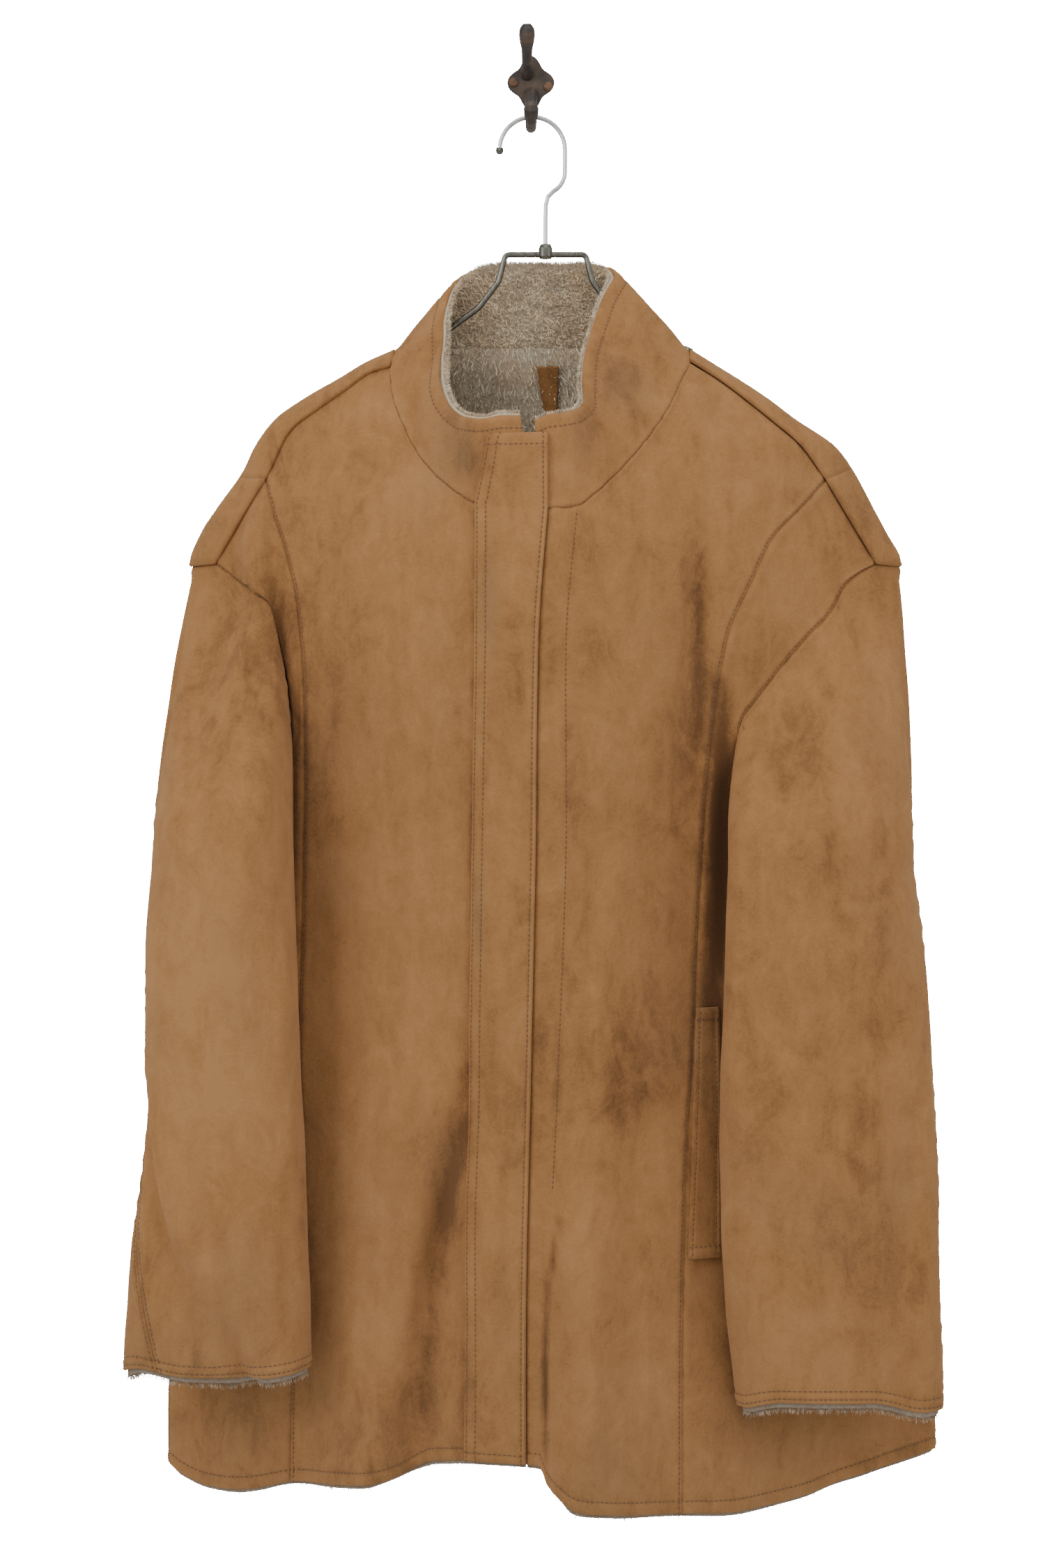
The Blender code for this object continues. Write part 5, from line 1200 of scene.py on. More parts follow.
def back_cloth(name, tops, left, right, strips, stitches):
    """A back panel. strips holds (first column, grid of (x, z) above the ridge) pairs."""
    grid, x, z = hung_from(-1, tops, left, right, spread(BACK_LONG, low=False, high=False))
    far = distances(grid)
    relief = creased(x, z, -1) * smooth((tops[:, 1] - z) / RIDGE_FADE)
    relief = relief + rolled(far["left"], z) + rolled(far["right"], z) + 0.5 * rolled(far["low"], x)
    relief = topstitch(grid, far, relief, stitches)
    outer = grid.points + grid.normals * relief[..., None]
    inner = grid.points - grid.normals * SUEDE
    seam = seam_closeness(far, ("left", "right"), stitches)
    PIECES[name] = wall(name + "_cloth", outer, inner, SUEDE_LOOK, nap(seam), face_out=-1)
    for number, (first, form) in enumerate(strips):
        columns = slice(first, first + form.shape[1])
        spots = np.concatenate([tops[None, columns], form])
        x, z = spots[..., 0], spots[..., 1]
        over = Grid(body(x, z, 1))
        over.normals[0] = unit(grid.normals[-1, columns] + over.normals[1])
        far = distances(over)
        share, on_right = top_share(x), x[0, 0] > 0
        relief = share * (rolled(far["top"], x) + stitched(far["top"], SEAM_INSET))
        if on_right:
            stitch_line(over, relief, "top", SEAM_INSET)
        part = f"{name}_shoulder_{number}"
        PIECES[part] = cloth(part, over, SUEDE_LOOK, relief,
                             nap(seam_closeness(far, ("top",), top=share)), plain_top=not on_right)


RIDGE_COUNT, CAP_COUNT = 34, 22
collar_end = {1: NECK[RIGHT_RIDGE].x, -1: -NECK[LEFT_RIDGE].x}
princess_ridge_x = SHOULDER[-1].ridge_x
ridges = {s: ridge_to(s, collar_end[s], princess_ridge_x, RIDGE_COUNT) for s in (1, -1)}
neck_back = neck_line(RIGHT_RIDGE, LEFT_RIDGE)[::-1]
tops = np.vstack([ridges[-1][::-1], neck_back[1:-1], ridges[1]])
strips = []
for side, neck in ((-1, NECK[LEFT_SIDE]), (1, NECK[RIGHT_SIDE])):
    seam_points = respaced(shoulder_line(side, (neck.x, neck.z)), np.linspace(0, 1, RIDGE_COUNT))
    form = strip(ridges[side], seam_points)
    strips.append((0, form[:, ::-1]) if side < 0 else (len(tops) - RIDGE_COUNT, form))
back_cloth("back_centre", tops, back_panel_edge(-1), back_panel_edge(1), strips,
           [("left", SEAM_INSET), ("right", SEAM_INSET), HEM_ROW])
for side, word in SIDES:
    over = ridge_to(side, princess_ridge_x, RIDGE_END, CAP_COUNT)
    form = strip(over, respaced(cap_line(side), np.linspace(0, 1, CAP_COUNT)))
    edges = [back_panel_edge(side), back_edge(side)][::side]
    back_cloth(f"side_back_{word}", over[::side], *edges, [(0, form[:, ::side])],
               [(word, SEAM_INSET), HEM_ROW])
print("body pieces:", len(PIECES))

# %% [markdown]
# ## Sleeves
#
# A sleeve starts at the armhole's loop. It swings down through the cap, and goes on as rings to the
# cuff. Angles run from the ring's outer edge over the front, in degrees. Each sleeve is cut in two:
# the top sleeve in front and outside, and the under sleeve, with seams at the back and inside.

# %% Tables of the sleeves: metres, and degrees round a ring
RING = "z inner outer y half back twist"
RIGHT_RINGS = table(RING, [
    (-0.600, 0.1305, 0.2680, -0.140, 0.030, 0.034, 0),
    (-0.670, 0.1278, 0.2750, -0.145, 0.029, 0.022, 0),
    (-0.745, 0.1245, 0.2784, -0.147, 0.028, 0.012, 0),
    (-0.850, 0.1250, 0.2815, -0.148, 0.027, 0.006, 0),
    (-0.910, 0.1275, 0.2825, -0.149, 0.027, 0.002, 0),
    (-0.978, 0.1365, 0.2835, -0.150, 0.027, 0.000, 0),
])
LEFT_RINGS = table(RING, [
    (-0.600, 0.1825, 0.2870, -0.134, 0.037, 0.026, 0),
    (-0.670, 0.1795, 0.2900, -0.137, 0.036, 0.014, 0),
    (-0.745, 0.1762, 0.2895, -0.137, 0.035, 0.004, 0),
    (-0.820, 0.1730, 0.2920, -0.137, 0.034, 0.000, 15),
    (-0.880, 0.1710, 0.2995, -0.138, 0.032, 0.000, 42),
    (-0.956, 0.1685, 0.3040, -0.138, 0.031, 0.000, 68),
])

CUFFS = table("share left right", [
    (0.00, -0.0020, -0.0035), (0.12, 0.0030, -0.0045), (0.22, -0.0020, 0.0030),
    (0.33, -0.0030, 0.0035), (0.45, 0.0010, -0.0025), (0.60, 0.0020, -0.0020),
    (0.80, 0.0000, 0.0010), (1.00, -0.0020, -0.0035),
])

SLEEVE_FOLDS = table("side start end angle_start angle_end near far out", [
    (-1, 0.00, 0.42, 118, 95, 14, 26, 0.009),
    (-1, 0.55, 1.00, 8, 50, 22, 8, -0.008),
    (1, 0.10, 0.60, 120, 132, 16, 18, -0.006),
    (1, 0.55, 1.00, 45, 62, 16, 20, -0.006),
    (1, 0.30, 0.90, 80, 84, 30, 30, 0.004),
    (1, 0.15, 0.80, 230, 240, 25, 25, -0.005),
    (-1, 0.15, 0.80, 250, 240, 25, 25, -0.005),
])
CAP_ROWS = 5
ARM_ROWS = (0.1, 0.2, 0.3, 0.4, 0.5, 0.6, 0.7, 0.79, 0.88, 0.95, 1.0)
RING_ROUND = 0.80
CUFF_Z = {1: -0.978, -1: -0.956}
RINGS = {1: RIGHT_RINGS, -1: LEFT_RINGS}
SLEEVE_SEAMS = {1: (350, 215), -1: (352, 215)}
SLEEVE_LINE = 0.42  # metres round a sleeve, to turn an angle into a place across
SLEEVE_CREASES = table(CREASE, [
    (-1, 0.070, -0.400, 0.087, -0.500, 0.016, 0.0018),
    (-1, 0.111, -0.460, 0.128, -0.560, 0.012, -0.0018),
    (-1, 0.047, -0.520, 0.082, -0.600, 0.014, 0.0020),
    (-1, 0.023, -0.600, 0.070, -0.660, 0.012, -0.0016),
    (-1, 0.082, -0.660, 0.117, -0.720, 0.012, 0.0018),
    (-1, 0.035, -0.740, 0.070, -0.800, 0.012, -0.0016),
    (-1, 0.093, -0.820, 0.111, -0.920, 0.014, 0.0016),
    (-1, 0.012, -0.840, 0.035, -0.920, 0.012, 0.0016),
    (-1, 0.140, -0.620, 0.158, -0.800, 0.012, -0.0014),
    (-1, 0.052, -0.900, 0.058, -0.950, 0.009, -0.0014),
    (-1, 0.128, -0.880, 0.131, -0.950, 0.008, 0.0012),
    (-1, 0.233, -0.600, 0.280, -0.660, 0.014, 0.0018),
    (-1, 0.327, -0.660, 0.280, -0.760, 0.014, -0.0018),
    (-1, 0.350, -0.500, 0.373, -0.620, 0.016, 0.0018),
    (-1, 0.385, -0.760, 0.350, -0.880, 0.012, 0.0016),
    (1, 0.070, -0.420, 0.093, -0.520, 0.016, 0.0018),
    (1, 0.111, -0.480, 0.131, -0.560, 0.012, -0.0016),
    (1, 0.152, -0.500, 0.175, -0.600, 0.012, 0.0016),
    (1, 0.035, -0.550, 0.070, -0.600, 0.014, -0.0016),
    (1, 0.070, -0.640, 0.128, -0.680, 0.012, 0.0019),
    (1, 0.058, -0.700, 0.117, -0.730, 0.009, -0.0017),
    (1, 0.140, -0.700, 0.175, -0.780, 0.012, 0.0016),
    (1, 0.047, -0.780, 0.087, -0.820, 0.012, 0.0016),
    (1, 0.099, -0.860, 0.111, -0.950, 0.012, -0.0014),
    (1, 0.064, -0.880, 0.070, -0.970, 0.010, 0.0014),
    (1, 0.152, -0.860, 0.158, -0.970, 0.009, 0.0013),
    (1, 0.233, -0.620, 0.280, -0.700, 0.014, 0.0018),
    (1, 0.327, -0.700, 0.280, -0.800, 0.014, -0.0018),
    (1, 0.350, -0.500, 0.373, -0.620, 0.016, 0.0018),
    (1, 0.385, -0.780, 0.350, -0.900, 0.012, 0.0016),
])
print("rings:", len(RIGHT_RINGS) + len(LEFT_RINGS), "sleeve creases:", len(SLEEVE_CREASES))

# %% Rings and the cap
CAP_LONG, ARM_LONG, CUFF_HIGH, LOOP_STEP = 0.22, 0.38, 0.03, 4.0 * MM
FRONT_Y, FRONT_FADE = -0.095, 0.02  # brushed patches lie only on what is in front of here


def powered(value, power):
    """A power that keeps the value's sign."""
    return np.sign(value) * np.abs(value) ** power


def ring_points(side, z, angle):
    """Points of a sleeve at heights and at angles round it."""
    rings = RINGS[side]
    inner, outer, y, half, back, twist = (
        curve(rings, "z", name)(z) for name in ("inner", "outer", "y", "half", "back", "twist"))
    turned = angle + np.radians(twist) * (0.5 + 0.5 * np.cos(angle))
    x = (inner + outer) / 2 + (outer - inner) / 2 * powered(np.cos(turned), RING_ROUND)
    y = y - half * powered(np.sin(turned), RING_ROUND)
    y = y + back * ((x - inner) / (outer - inner)) ** 2
    share = (turned / (2 * math.pi)) % 1.0
    level = curve(CUFFS, "share", WORD[side])(share)
    low = smooth((rings[-1].z + CUFF_HIGH - z) / CUFF_HIGH)
    return np.stack([MIDDLE + side * x, y, z + level * low], axis=-1)


def outward(x, z, face):
    """The way out of the body at its points, from their neighbours a millimetre on."""
    x = np.sign(x) * np.minimum(np.abs(x), 0.985 * half_width(x, z))
    across = body(x + MM, z, face) - body(x - MM, z, face)
    up = body(x, z + MM, face) - body(x, z - MM, face)
    return unit(np.cross(across, up)) * face


def armhole_loop(side):
    """Points and ways out round the armhole: over the tip, down the front, and up the back."""
    t = np.linspace(0, 1, 8)[:-1] ** 1.5
    front = np.linspace(CAP_END.z, UNDERARM, 60)
    back = np.linspace(UNDERARM, TIP, 60)[1:]
    x = side * np.concatenate([mix(RIDGE_END, CAP_END.x, t), armhole[side](front),
                               back_armhole[side](back)])
    z = np.concatenate([mix(TIP, CAP_END.z, t), front, back])
    split = len(t) + len(front)
    places = np.concatenate([body(x[:split], z[:split], 1), body(x[split:], z[split:], -1)])
    ways = np.concatenate([outward(x[:split], z[:split], 1), outward(x[split:], z[split:], -1)])
    far = along(places)
    at = np.linspace(0, 1, int(far[-1] / LOOP_STEP), endpoint=False)
    points = respaced(places, at)
    ways = np.stack([np.interp(at * far[-1], far, w) for w in ways.T], axis=-1)
    under = int(np.searchsorted(at * far[-1], far[split - 1]))
    return points, unit(ways), under


def loop_angles(side, points, under):
    """The angle of the first ring that each point of the armhole's loop goes to."""
    inmost = int(np.argmin(side * points[:under, 0]))
    top = RINGS[side][0]
    across = (side * (points[under, 0] - MIDDLE) - (top.inner + top.outer) / 2)
    across = powered(across / ((top.outer - top.inner) / 2), 1 / RING_ROUND)
    stops = [(0, 0.0), (inmost, math.pi), (under, 2 * math.pi - math.acos(across)),
             (len(points), 2 * math.pi)]
    ring = along(np.vstack([points, points[:1]]))
    return np.interp(ring, [ring[i] for i, _ in stops], [a for _, a in stops])[:-1]


def sleeve_fold_out(side, v, degrees):
    """How far a sleeve's folds stand out, at shares of its length and at angles."""
    out = 0.0 * v * degrees
    for fold in SLEEVE_FOLDS:
        if fold.side == side:
            t = (v - fold.start) / (fold.end - fold.start)
            away = (degrees - mix(fold.angle_start, fold.angle_end, t) + 180) % 360 - 180
            fade = smooth(t * 5) * (1.0 if fold.end >= 1 else smooth((1 - t) * 5))
            width = np.where(away < 0, fold.near, fold.far)
            inside = (t >= 0) & (t <= 1.0001)
            out = out + np.where(inside, fold.out * fade * bell(away, width), 0.0)
    return out


def turned_normals(points, side):
    """The way out of a closed tube of points."""
    around = np.roll(points, -1, axis=1) - np.roll(points, 1, axis=1)
    return unit(np.cross(around, np.gradient(points, axis=0))) * side


def sleeve_grid(side):
    """Points, ways out and angles of a whole sleeve, its first row at the armhole."""
    low, ways, under = armhole_loop(side)
    angles = loop_angles(side, low, under)
    top_z = RINGS[side][0].z
    goal = ring_points(side, top_z, angles)
    way = goal - low
    length = np.linalg.norm(way, axis=-1, keepdims=True)
    dip = np.sum(way * ways, axis=-1, keepdims=True)
    kept = np.where(angles[:, None] <= math.pi, 0.3, np.where(dip > 0, 1.0, 0.0))
    leave = unit(way - ways * dip * (1 - kept)) * length
    land = length * np.array([0, 0, -1.0])
    cap = spread(CAP_LONG, high=False)[:, None, None]
    cap_rows = (low * (1 + 2 * cap) * (1 - cap) ** 2 + goal * cap * cap * (3 - 2 * cap)
                + cap * (1 - cap) * ((1 - cap) * leave - cap * land))
    arm = (1 - spread(ARM_LONG, high=False)[::-1])[1:, None]
    arm_rows = ring_points(side, mix(top_z, CUFF_Z[side], arm), angles)
    points = np.concatenate([cap_rows, arm_rows])
    arm_places = np.interp(arm[:, 0], [0, *ARM_ROWS], range(len(ARM_ROWS) + 1))
    rows = np.concatenate([cap[:, 0, 0] * CAP_ROWS, CAP_ROWS + arm_places])
    v = rows[:, None] / (CAP_ROWS + len(ARM_ROWS))
    degrees = np.degrees(angles)
    points = points + turned_normals(points, side) * sleeve_fold_out(side, v, degrees)[..., None]
    normals = turned_normals(points, side)
    share = smooth(0.5 + 0.5 * np.sum(normals[0] * ways, axis=-1))[:, None]
    points[0] += ways * 0.9 * MM * (1 - share)
    near = smooth(1 - np.linspace(0, len(points) - 1, len(points)) / 5)[:, None, None]
    normals = unit(mix(normals, unit(mix(normals[:1], ways, share)), near))
    return points, normals, degrees


def sleeve_cloth(name, side, made, columns, back_edge_name):
    """One part of a sleeve, cut from some of its columns."""
    points, normals, degrees = (a[..., columns] if a.ndim == 1 else a[:, columns] for a in made)
    grid = Grid(points[::-1, ::-side], normals=normals[::-1, ::-side])
    x, y, z = np.moveaxis(grid.points, -1, 0)
    place = (degrees * SLEEVE_LINE / 360)[::-side] + 0 * x
    far = distances(grid)
    relief = sum(c.out * stroke(place, z, c) for c in SLEEVE_CREASES if c.face == side)
    for height, across, upright, start in RIPPLES[1:]:
        turn = 2 * math.pi * (round(across * SLEEVE_LINE) / SLEEVE_LINE * place + upright * z)
        relief = relief + height * MM * np.sin(turn + start + side)
    for edge in ("left", "right"):
        relief = relief + rolled(far[edge], z)
    relief = relief + 0.8 * rolled(far["top"], place) + 0.5 * rolled(far["low"])
    rows = [("low", SEAM_INSET), HEM_ROW, (back_edge_name, SEAM_INSET)]
    relief = topstitch(grid, far, relief, rows)
    dark, grey = brushed(x - MIDDLE, z)
    in_front = smooth((FRONT_Y - y) / FRONT_FADE)
    seam = seam_closeness(far, ("left", "right", "top"), rows)
    PIECES[name] = cloth(name + "_cloth", grid, SUEDE_LOOK, relief,
                         nap(seam, dark * in_front, grey * in_front))


sleeves = {}
for side, word in SIDES:
    points, normals, degrees = sleeves[side] = sleeve_grid(side)
    back, inner = (int(np.argmin(abs(degrees - at))) for at in SLEEVE_SEAMS[side])
    count = len(degrees)
    top_columns = [(back + i) % count for i in range((inner - back) % count + 1)]
    under_columns = [(inner + i) % count for i in range((back - inner) % count + 1)]
    # The top sleeve's angles start past 350 degrees, which is the same as a little below 0
    unrolled = np.where(degrees >= degrees[back], degrees - 360, degrees)
    sleeve_cloth(f"top_sleeve_{word}", side, (points, normals, unrolled), top_columns, word)
    sleeve_cloth(f"under_sleeve_{word}", side, sleeves[side], under_columns, WORD[-side])
print("sleeve columns:", [len(sleeves[side][2]) for side in (1, -1)])

# %% [markdown]
# ## Collar, placket flap and welt
#
# The collar stands on the neck seam and folds back a little. Its seam runs over 24 stations, over
# both shoulders and the back. The flap covers the closing, from near the hem up over the collar's
# left end. The welt is a long narrow lip over the pocket, beside the right princess seam.

# %% Collar
COLLAR_BULGE, COLLAR_HIGH = 1.0 * MM, 0.075
# The collar's right end reaches on behind the flap, by this much to station -1
END_PAST, SEAM_PAST = (-0.0084, 0.0, -0.0036), (-0.0025, 0.0, 0.0)
COLLAR_LONG, PAST_LONG = 0.60, 0.0084
STATION_LONG = 26 * MM
TUCK_DOWN, TUCK_IN = 2.6 * MM, 1.5 * MM  # how the lowest row goes under the neck seam


def collar_points(at, heights):
    """Points of the collar at stations, and at heights between its seam and its edge."""
    x, z, *high = (NECK_COLUMNS[n](at) for n in ("x", "z", "edge_x", "edge_y", "edge_z"))
    behind = ((at > RIGHT_RIDGE) & (at < LEFT_RIDGE))[:, None]
    past = np.maximum(-at, 0.0)[:, None]
    low = np.where(behind, body(x, z, -1), body(x, z, 1))
    high = np.stack(high, axis=-1) + np.array([MIDDLE, 0, 0]) + past * np.array(END_PAST)
    low = low + past * np.array(SEAM_PAST)
    out = unit(np.cross(np.gradient(low, axis=0), high - low))
    h = heights[:, None, None]
    return mix(low, high, h) + out * COLLAR_BULGE * 4 * h * (1 - h)


whole = PAST_LONG + COLLAR_LONG
stations = np.interp(whole * spread(whole, step=3.6 * MM),
                     [0, PAST_LONG, whole], [-1, 0, len(NECK) - 1])
heights = spread(COLLAR_HIGH, step=3.4 * MM)
collar = Grid(collar_points(stations, heights))
down = unit(collar.points[0] - collar.points[2])
collar.points[0] += down * TUCK_DOWN - collar.normals[0] * TUCK_IN

# Folds of the collar: stations at its seam and at its edge, width in stations, out in mm
COLLAR_FOLDS = table("low high wide out", [
    (18.6, 17.0, 0.45, -3.4),
    (19.5, 18.1, 0.45, 2.6),
    (20.6, 19.9, 0.32, -2.6),
    (21.3, 21.0, 0.30, 1.4),
    (5.2, 5.8, 0.45, -1.2),
    (3.4, 3.9, 0.60, 1.2),
    (1.6, 1.9, 0.40, -1.0),
    (11.5, 12.0, 1.20, -1.6),
    (7.6, 8.0, 0.50, 1.2),
])


def collar_fold(around, tall):
    """How far the collar's folds stand out, at stations and shares of its height."""
    out = 0.35 * MM * np.sin(around * 5.1) * tall + 0.25 * MM * np.sin(around * 11.3 + tall * 4)
    for fold in COLLAR_FOLDS:
        away = around - mix(fold.low, fold.high, tall)
        out = out + fold.out * MM * smooth(tall * 3) * bell(away, fold.wide)
    return out


far = distances(collar)
relief = rolled(far["low"], stations * STATION_LONG)
relief = relief + turned_under(far, ["top"], 1.2 * MM, 1.6 * MM)
relief = relief + collar_fold(stations, heights[:, None])
rows = [("low", SEAM_INSET), ("top", 9.0 * MM)]
relief = topstitch(collar, far, relief, rows)
dark, grey = brushed(collar.points[..., 0] - MIDDLE, collar.points[..., 2])
PIECES["collar"] = cloth("collar_cloth", collar, SUEDE_LOOK, relief,
                         nap(seam_closeness(far, ("low",), rows), dark * 0.8, grey))
print("collar:", collar.points.shape[:2])

# %% Placket flap
FLAP_THICK, WELT_THICK, LAP = 4.0 * MM, 3.0 * MM, 0.3 * MM
PILE, PRESSED_PILE, EDGE_PILE, RIM_FUR = 8.0 * MM, 2.3 * MM, 6.0 * MM, 2.0 * MM
INSIDE = -(SUEDE + LAP)  # where the fur starts, measured from the cloth's face
# Above the neck seam the flap lies on the collar's left end: how far up the collar each row is, and
# how many stations the flap's free edge has turned in there
FLAP_RISES = table("height turn_in", [
    (0.02, 0.01), (0.08, 0.05), (0.19, 0.09), (0.30, 0.14), (0.42, 0.20), (0.54, 0.26),
    (0.66, 0.32), (0.74, 0.36), (0.780, 0.40), (0.795, 0.43), (0.802, 0.46),
])
FINE = 144  # steps round the whole collar
LAST = len(NECK) - 1
neck_steps = np.concatenate([np.linspace(FLAP_STATION, LAST, 2 * LINE_STEPS + 1), [LAST + 1]])
tops = np.vstack([neck_line(FLAP_STATION, LAST), [(NECK[0].x, NECK[0].z)]])
flap = panel(1, tops, flap_edge, closing)[0]
flap_width = float(closing(UNDERARM) - flap_edge(UNDERARM))
flap_at = np.interp(spread(max(flap_width, NARROWEST)), share_along(tops), neck_steps)
round_collar = np.linspace(0, LAST, FINE)
collar_rings = collar_points(round_collar, np.array([r.height for r in FLAP_RISES]))
rise = []
for ring, (_, turn_in) in zip(collar_rings, FLAP_RISES):
    at = mix(FLAP_STATION + turn_in, LAST + 1, (flap_at - FLAP_STATION) / (LAST + 1 - FLAP_STATION))
    on = np.stack([np.interp(at, round_collar, c) for c in ring.T], axis=-1)
    over = np.maximum(at - LAST, 0.0)[:, None]
    rise.append(mix(on, ring[0], over))
points = np.concatenate([flap.points[:-1], np.array(rise)])
points[0] = mix(points[0], points[1], 0.3)
flap = Grid(points)
far = distances(flap)
x, z = flap.points[..., 0] - MIDDLE, flap.points[..., 2]
relief = creased(x, z, 1) + turned_under(far, ("left", "low", "top"), 1.3 * MM, 1.5 * MM)
relief = relief + rolled(far["right"], z)
# The cloth puckers a little between the two rows of stitches beside the free edge
beside = bell(far["left"] - 5 * MM, 3 * MM)
relief = relief + 0.35 * MM * np.sin(z * 2 * math.pi / (21 * MM)) * beside
rows = [("left", SIDE_INSET), ("left", 8.6 * MM), ("right", SEAM_INSET), ("top", 8.0 * MM),
        ("low", 6.0 * MM)]
relief = topstitch(flap.raised(LAP + FLAP_THICK), far, relief, rows)
dark, grey = brushed(x, z)
# The edge over the closing is rubbed pale
dark = dark - 0.55 * bell(far["right"] - 0.8 * MM, MM)
PIECES["placket_flap"] = cloth("placket_flap_cloth", flap, SUEDE_LOOK, relief,
                               nap(seam_closeness(far, (), rows), dark, grey),
                               FLAP_THICK, LAP + FLAP_THICK, under=1.0)
print("flap:", flap.points.shape[:2])

# %% Pocket welt and the inside tab
WELT = table(ACROSS, [(-0.8790, 0.1014, 0.1257), (-0.7000, 0.1090, 0.1252)])
TAB = table(ACROSS, [
    (-0.260, 0.0008, 0.0080), (-0.240, -0.0030, 0.0090), (-0.221, -0.0061, 0.0096),
])
BORDER, END_BORDER = 5.0 * MM, 8.4 * MM  # how wide the welt's folded border is
TAB_THICK = 1.5 * MM


def small_patch(rows, face, step=2.6 * MM):
    """A grid between straight rows of its two sides."""
    z, left, right = (np.array(column) for column in zip(*rows))
    up = spread(abs(z[-1] - z[0]), step=step)
    across = spread(float(abs(right[0] - left[0])), step=step)
    order = np.linspace(0, 1, len(rows))
    z, left, right = (np.interp(up, order, c)[:, None] for c in (z, left, right))
    x = mix(left, right, across)
    z = z + 0 * x
    return Grid(body(x, z, face), face), x, z


welt, x, z = small_patch(WELT, 1)
far = distances(welt)
relief = creased(x, z, 1) + 0.4 * MM
relief = relief + turned_under(far, ("left", "right", "low", "top"), 1.1 * MM, 1.3 * MM)
# The border is folded over, so it stands higher than the middle
borders = (("right", BORDER), ("low", END_BORDER), ("top", END_BORDER))
border = np.maximum.reduce([smooth((wide - far[edge]) / MM) for edge, wide in borders])
relief = relief + 0.6 * MM * border
rows = [("right", 4.6 * MM, 0.04, 0.96), ("low", 8.0 * MM, 0.1, 0.85), ("top", 8.0 * MM, 0.1, 0.85),
        ("left", 2.0 * MM, 0.04, 0.96)]
relief = topstitch(welt.raised(LAP + WELT_THICK), far, relief, rows)
dark, grey = brushed(x, z)
PIECES["pocket_welt"] = cloth("pocket_welt_cloth", welt, SUEDE_LOOK, relief,
                              nap(seam_closeness(far, ("left",), rows), dark * 0.5 + 0.15, grey),
                              WELT_THICK, LAP + WELT_THICK, under=1.0)
tab, x, z = small_patch(TAB, -1, 2.0 * MM)
PIECES["back_neck_tab"] = cloth("back_neck_tab_cloth", tab, SUEDE_LOOK, 0 * x, nap(0.0, 0.3),
                                TAB_THICK, INSIDE - PILE - LAP, face_out=-1)
print("pieces:", len(PIECES))

# %% [markdown]
# ## Fur
#
# Under the hairs lies a ground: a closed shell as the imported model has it, but finer. It lines the
# collar, the neck, the cuffs and the hem. Its outer line is uneven, because fur never ends in a
# straight edge.

# %% Fur grounds
rng = np.random.default_rng(7)
EMERGE = 0.6  # how much of the fur's depth the plain ground fills
RAGGED = 1.2 * MM  # how uneven the ground is
HANGER_STATIONS = (7.5, 15.5)  # where the hanger passes through the collar


def ragged(shape, height):
    """Uneven numbers from 0 to height that change softly from point to point."""
    rough = rng.random(shape)
    return height * (rough + np.roll(rough, 1, -1) + np.roll(rough, 1, 0)) / 3


def fur_ground(name, grid, pile, finish, rim=None, closed=False, face_out=1):
    """A closed shell, and the points of its hairy side. rim is the row that shows its thickness."""
    outer = grid.points + grid.normals * (INSIDE - 0.1 * MM)
    depth = pile * EMERGE + ragged(grid.points.shape[:2], RAGGED)
    inner = outer - grid.normals * depth[..., None]
    PIECES[name] = wall(name + "_ground", outer, inner, finish, closed=closed, face_out=face_out)
    if rim is None:
        return inner
    if rim == 0:
        outer, inner = outer[::-1], inner[::-1]
    middle = (outer[-1] + inner[-1]) / 2 + unit(inner[-1] - inner[-2]) * BULGE
    return np.concatenate([inner, [middle, mix(middle, outer[-1], 0.7)]])


GROUNDS = {}
heights = np.concatenate([[-0.03, 0.02], np.linspace(0.06, 1.0, 22)])
furred = Grid(collar_points(stations, heights))
# The fur is pushed in where the collar folds in
fold = np.minimum(collar_fold(stations, heights[:, None]), 0.0)
furred.points += furred.normals * 0.7 * fold[..., None]
way = unit(furred.points[-1] - furred.points[-2])
# The viewer's right end shows a narrower edge of fur
full = mix(0.5, 1.0, smooth((stations - 6.0) / 2.0))
edge_of_fur = furred.points[-1] + way * RIM_FUR * (full * full)[:, None]
rim = Grid(np.concatenate([furred.points, [edge_of_fur]]),
           normals=np.concatenate([furred.normals, furred.normals[-1:]]))
pressed = sum(bell(stations - s, 0.9) for s in HANGER_STATIONS)
pile = mix(PILE, PRESSED_PILE * 0.8, np.clip(pressed, 0, 1)) * full * np.ones((len(rim.points), 1))
GROUNDS["collar_fur"] = fur_ground("collar_fur", rim, pile, FUR_GROUND, rim=-1)

NECK_FUR_HALF, NECK_FUR_LOW, NECK_FUR_TOP = 0.122, -0.450, -0.2078
back_x, share = np.meshgrid(np.linspace(-NECK_FUR_HALF, NECK_FUR_HALF, 60), np.linspace(0, 1, 56))
back_z = mix(NECK_FUR_LOW, np.minimum(ridge(back_x) - 3 * MM, NECK_FUR_TOP), share)
neck = Grid(body(back_x, back_z, -1), -1)
GROUNDS["back_neck_fur"] = fur_ground("back_neck_fur", neck, PILE, NECK_GROUND, face_out=-1)


BAND_ROWS = [0, 3, 6, 9]  # the rows of a piece, up from its edge, that its fur lies behind


def band(points, normals, down):
    """A fur band along an edge of a piece: its line of points, and on past it by down."""
    way = unit(points[0] - points[4])
    past = [points[0] + way * down * share for share in (0.55, 0.3)]
    return Grid(np.array([*past, *points[BAND_ROWS]]), normals=normals[[0, 0, *BAND_ROWS]])


for side, word in SIDES:
    points, normals = (a[::-1, ::-side] for a in sleeves[side][:2])
    name = f"cuff_fur_{word}"
    cuff = band(points, normals, 7 * MM)
    GROUNDS[name] = fur_ground(name, cuff, EDGE_PILE, EDGE_GROUND, rim=0, closed=True)


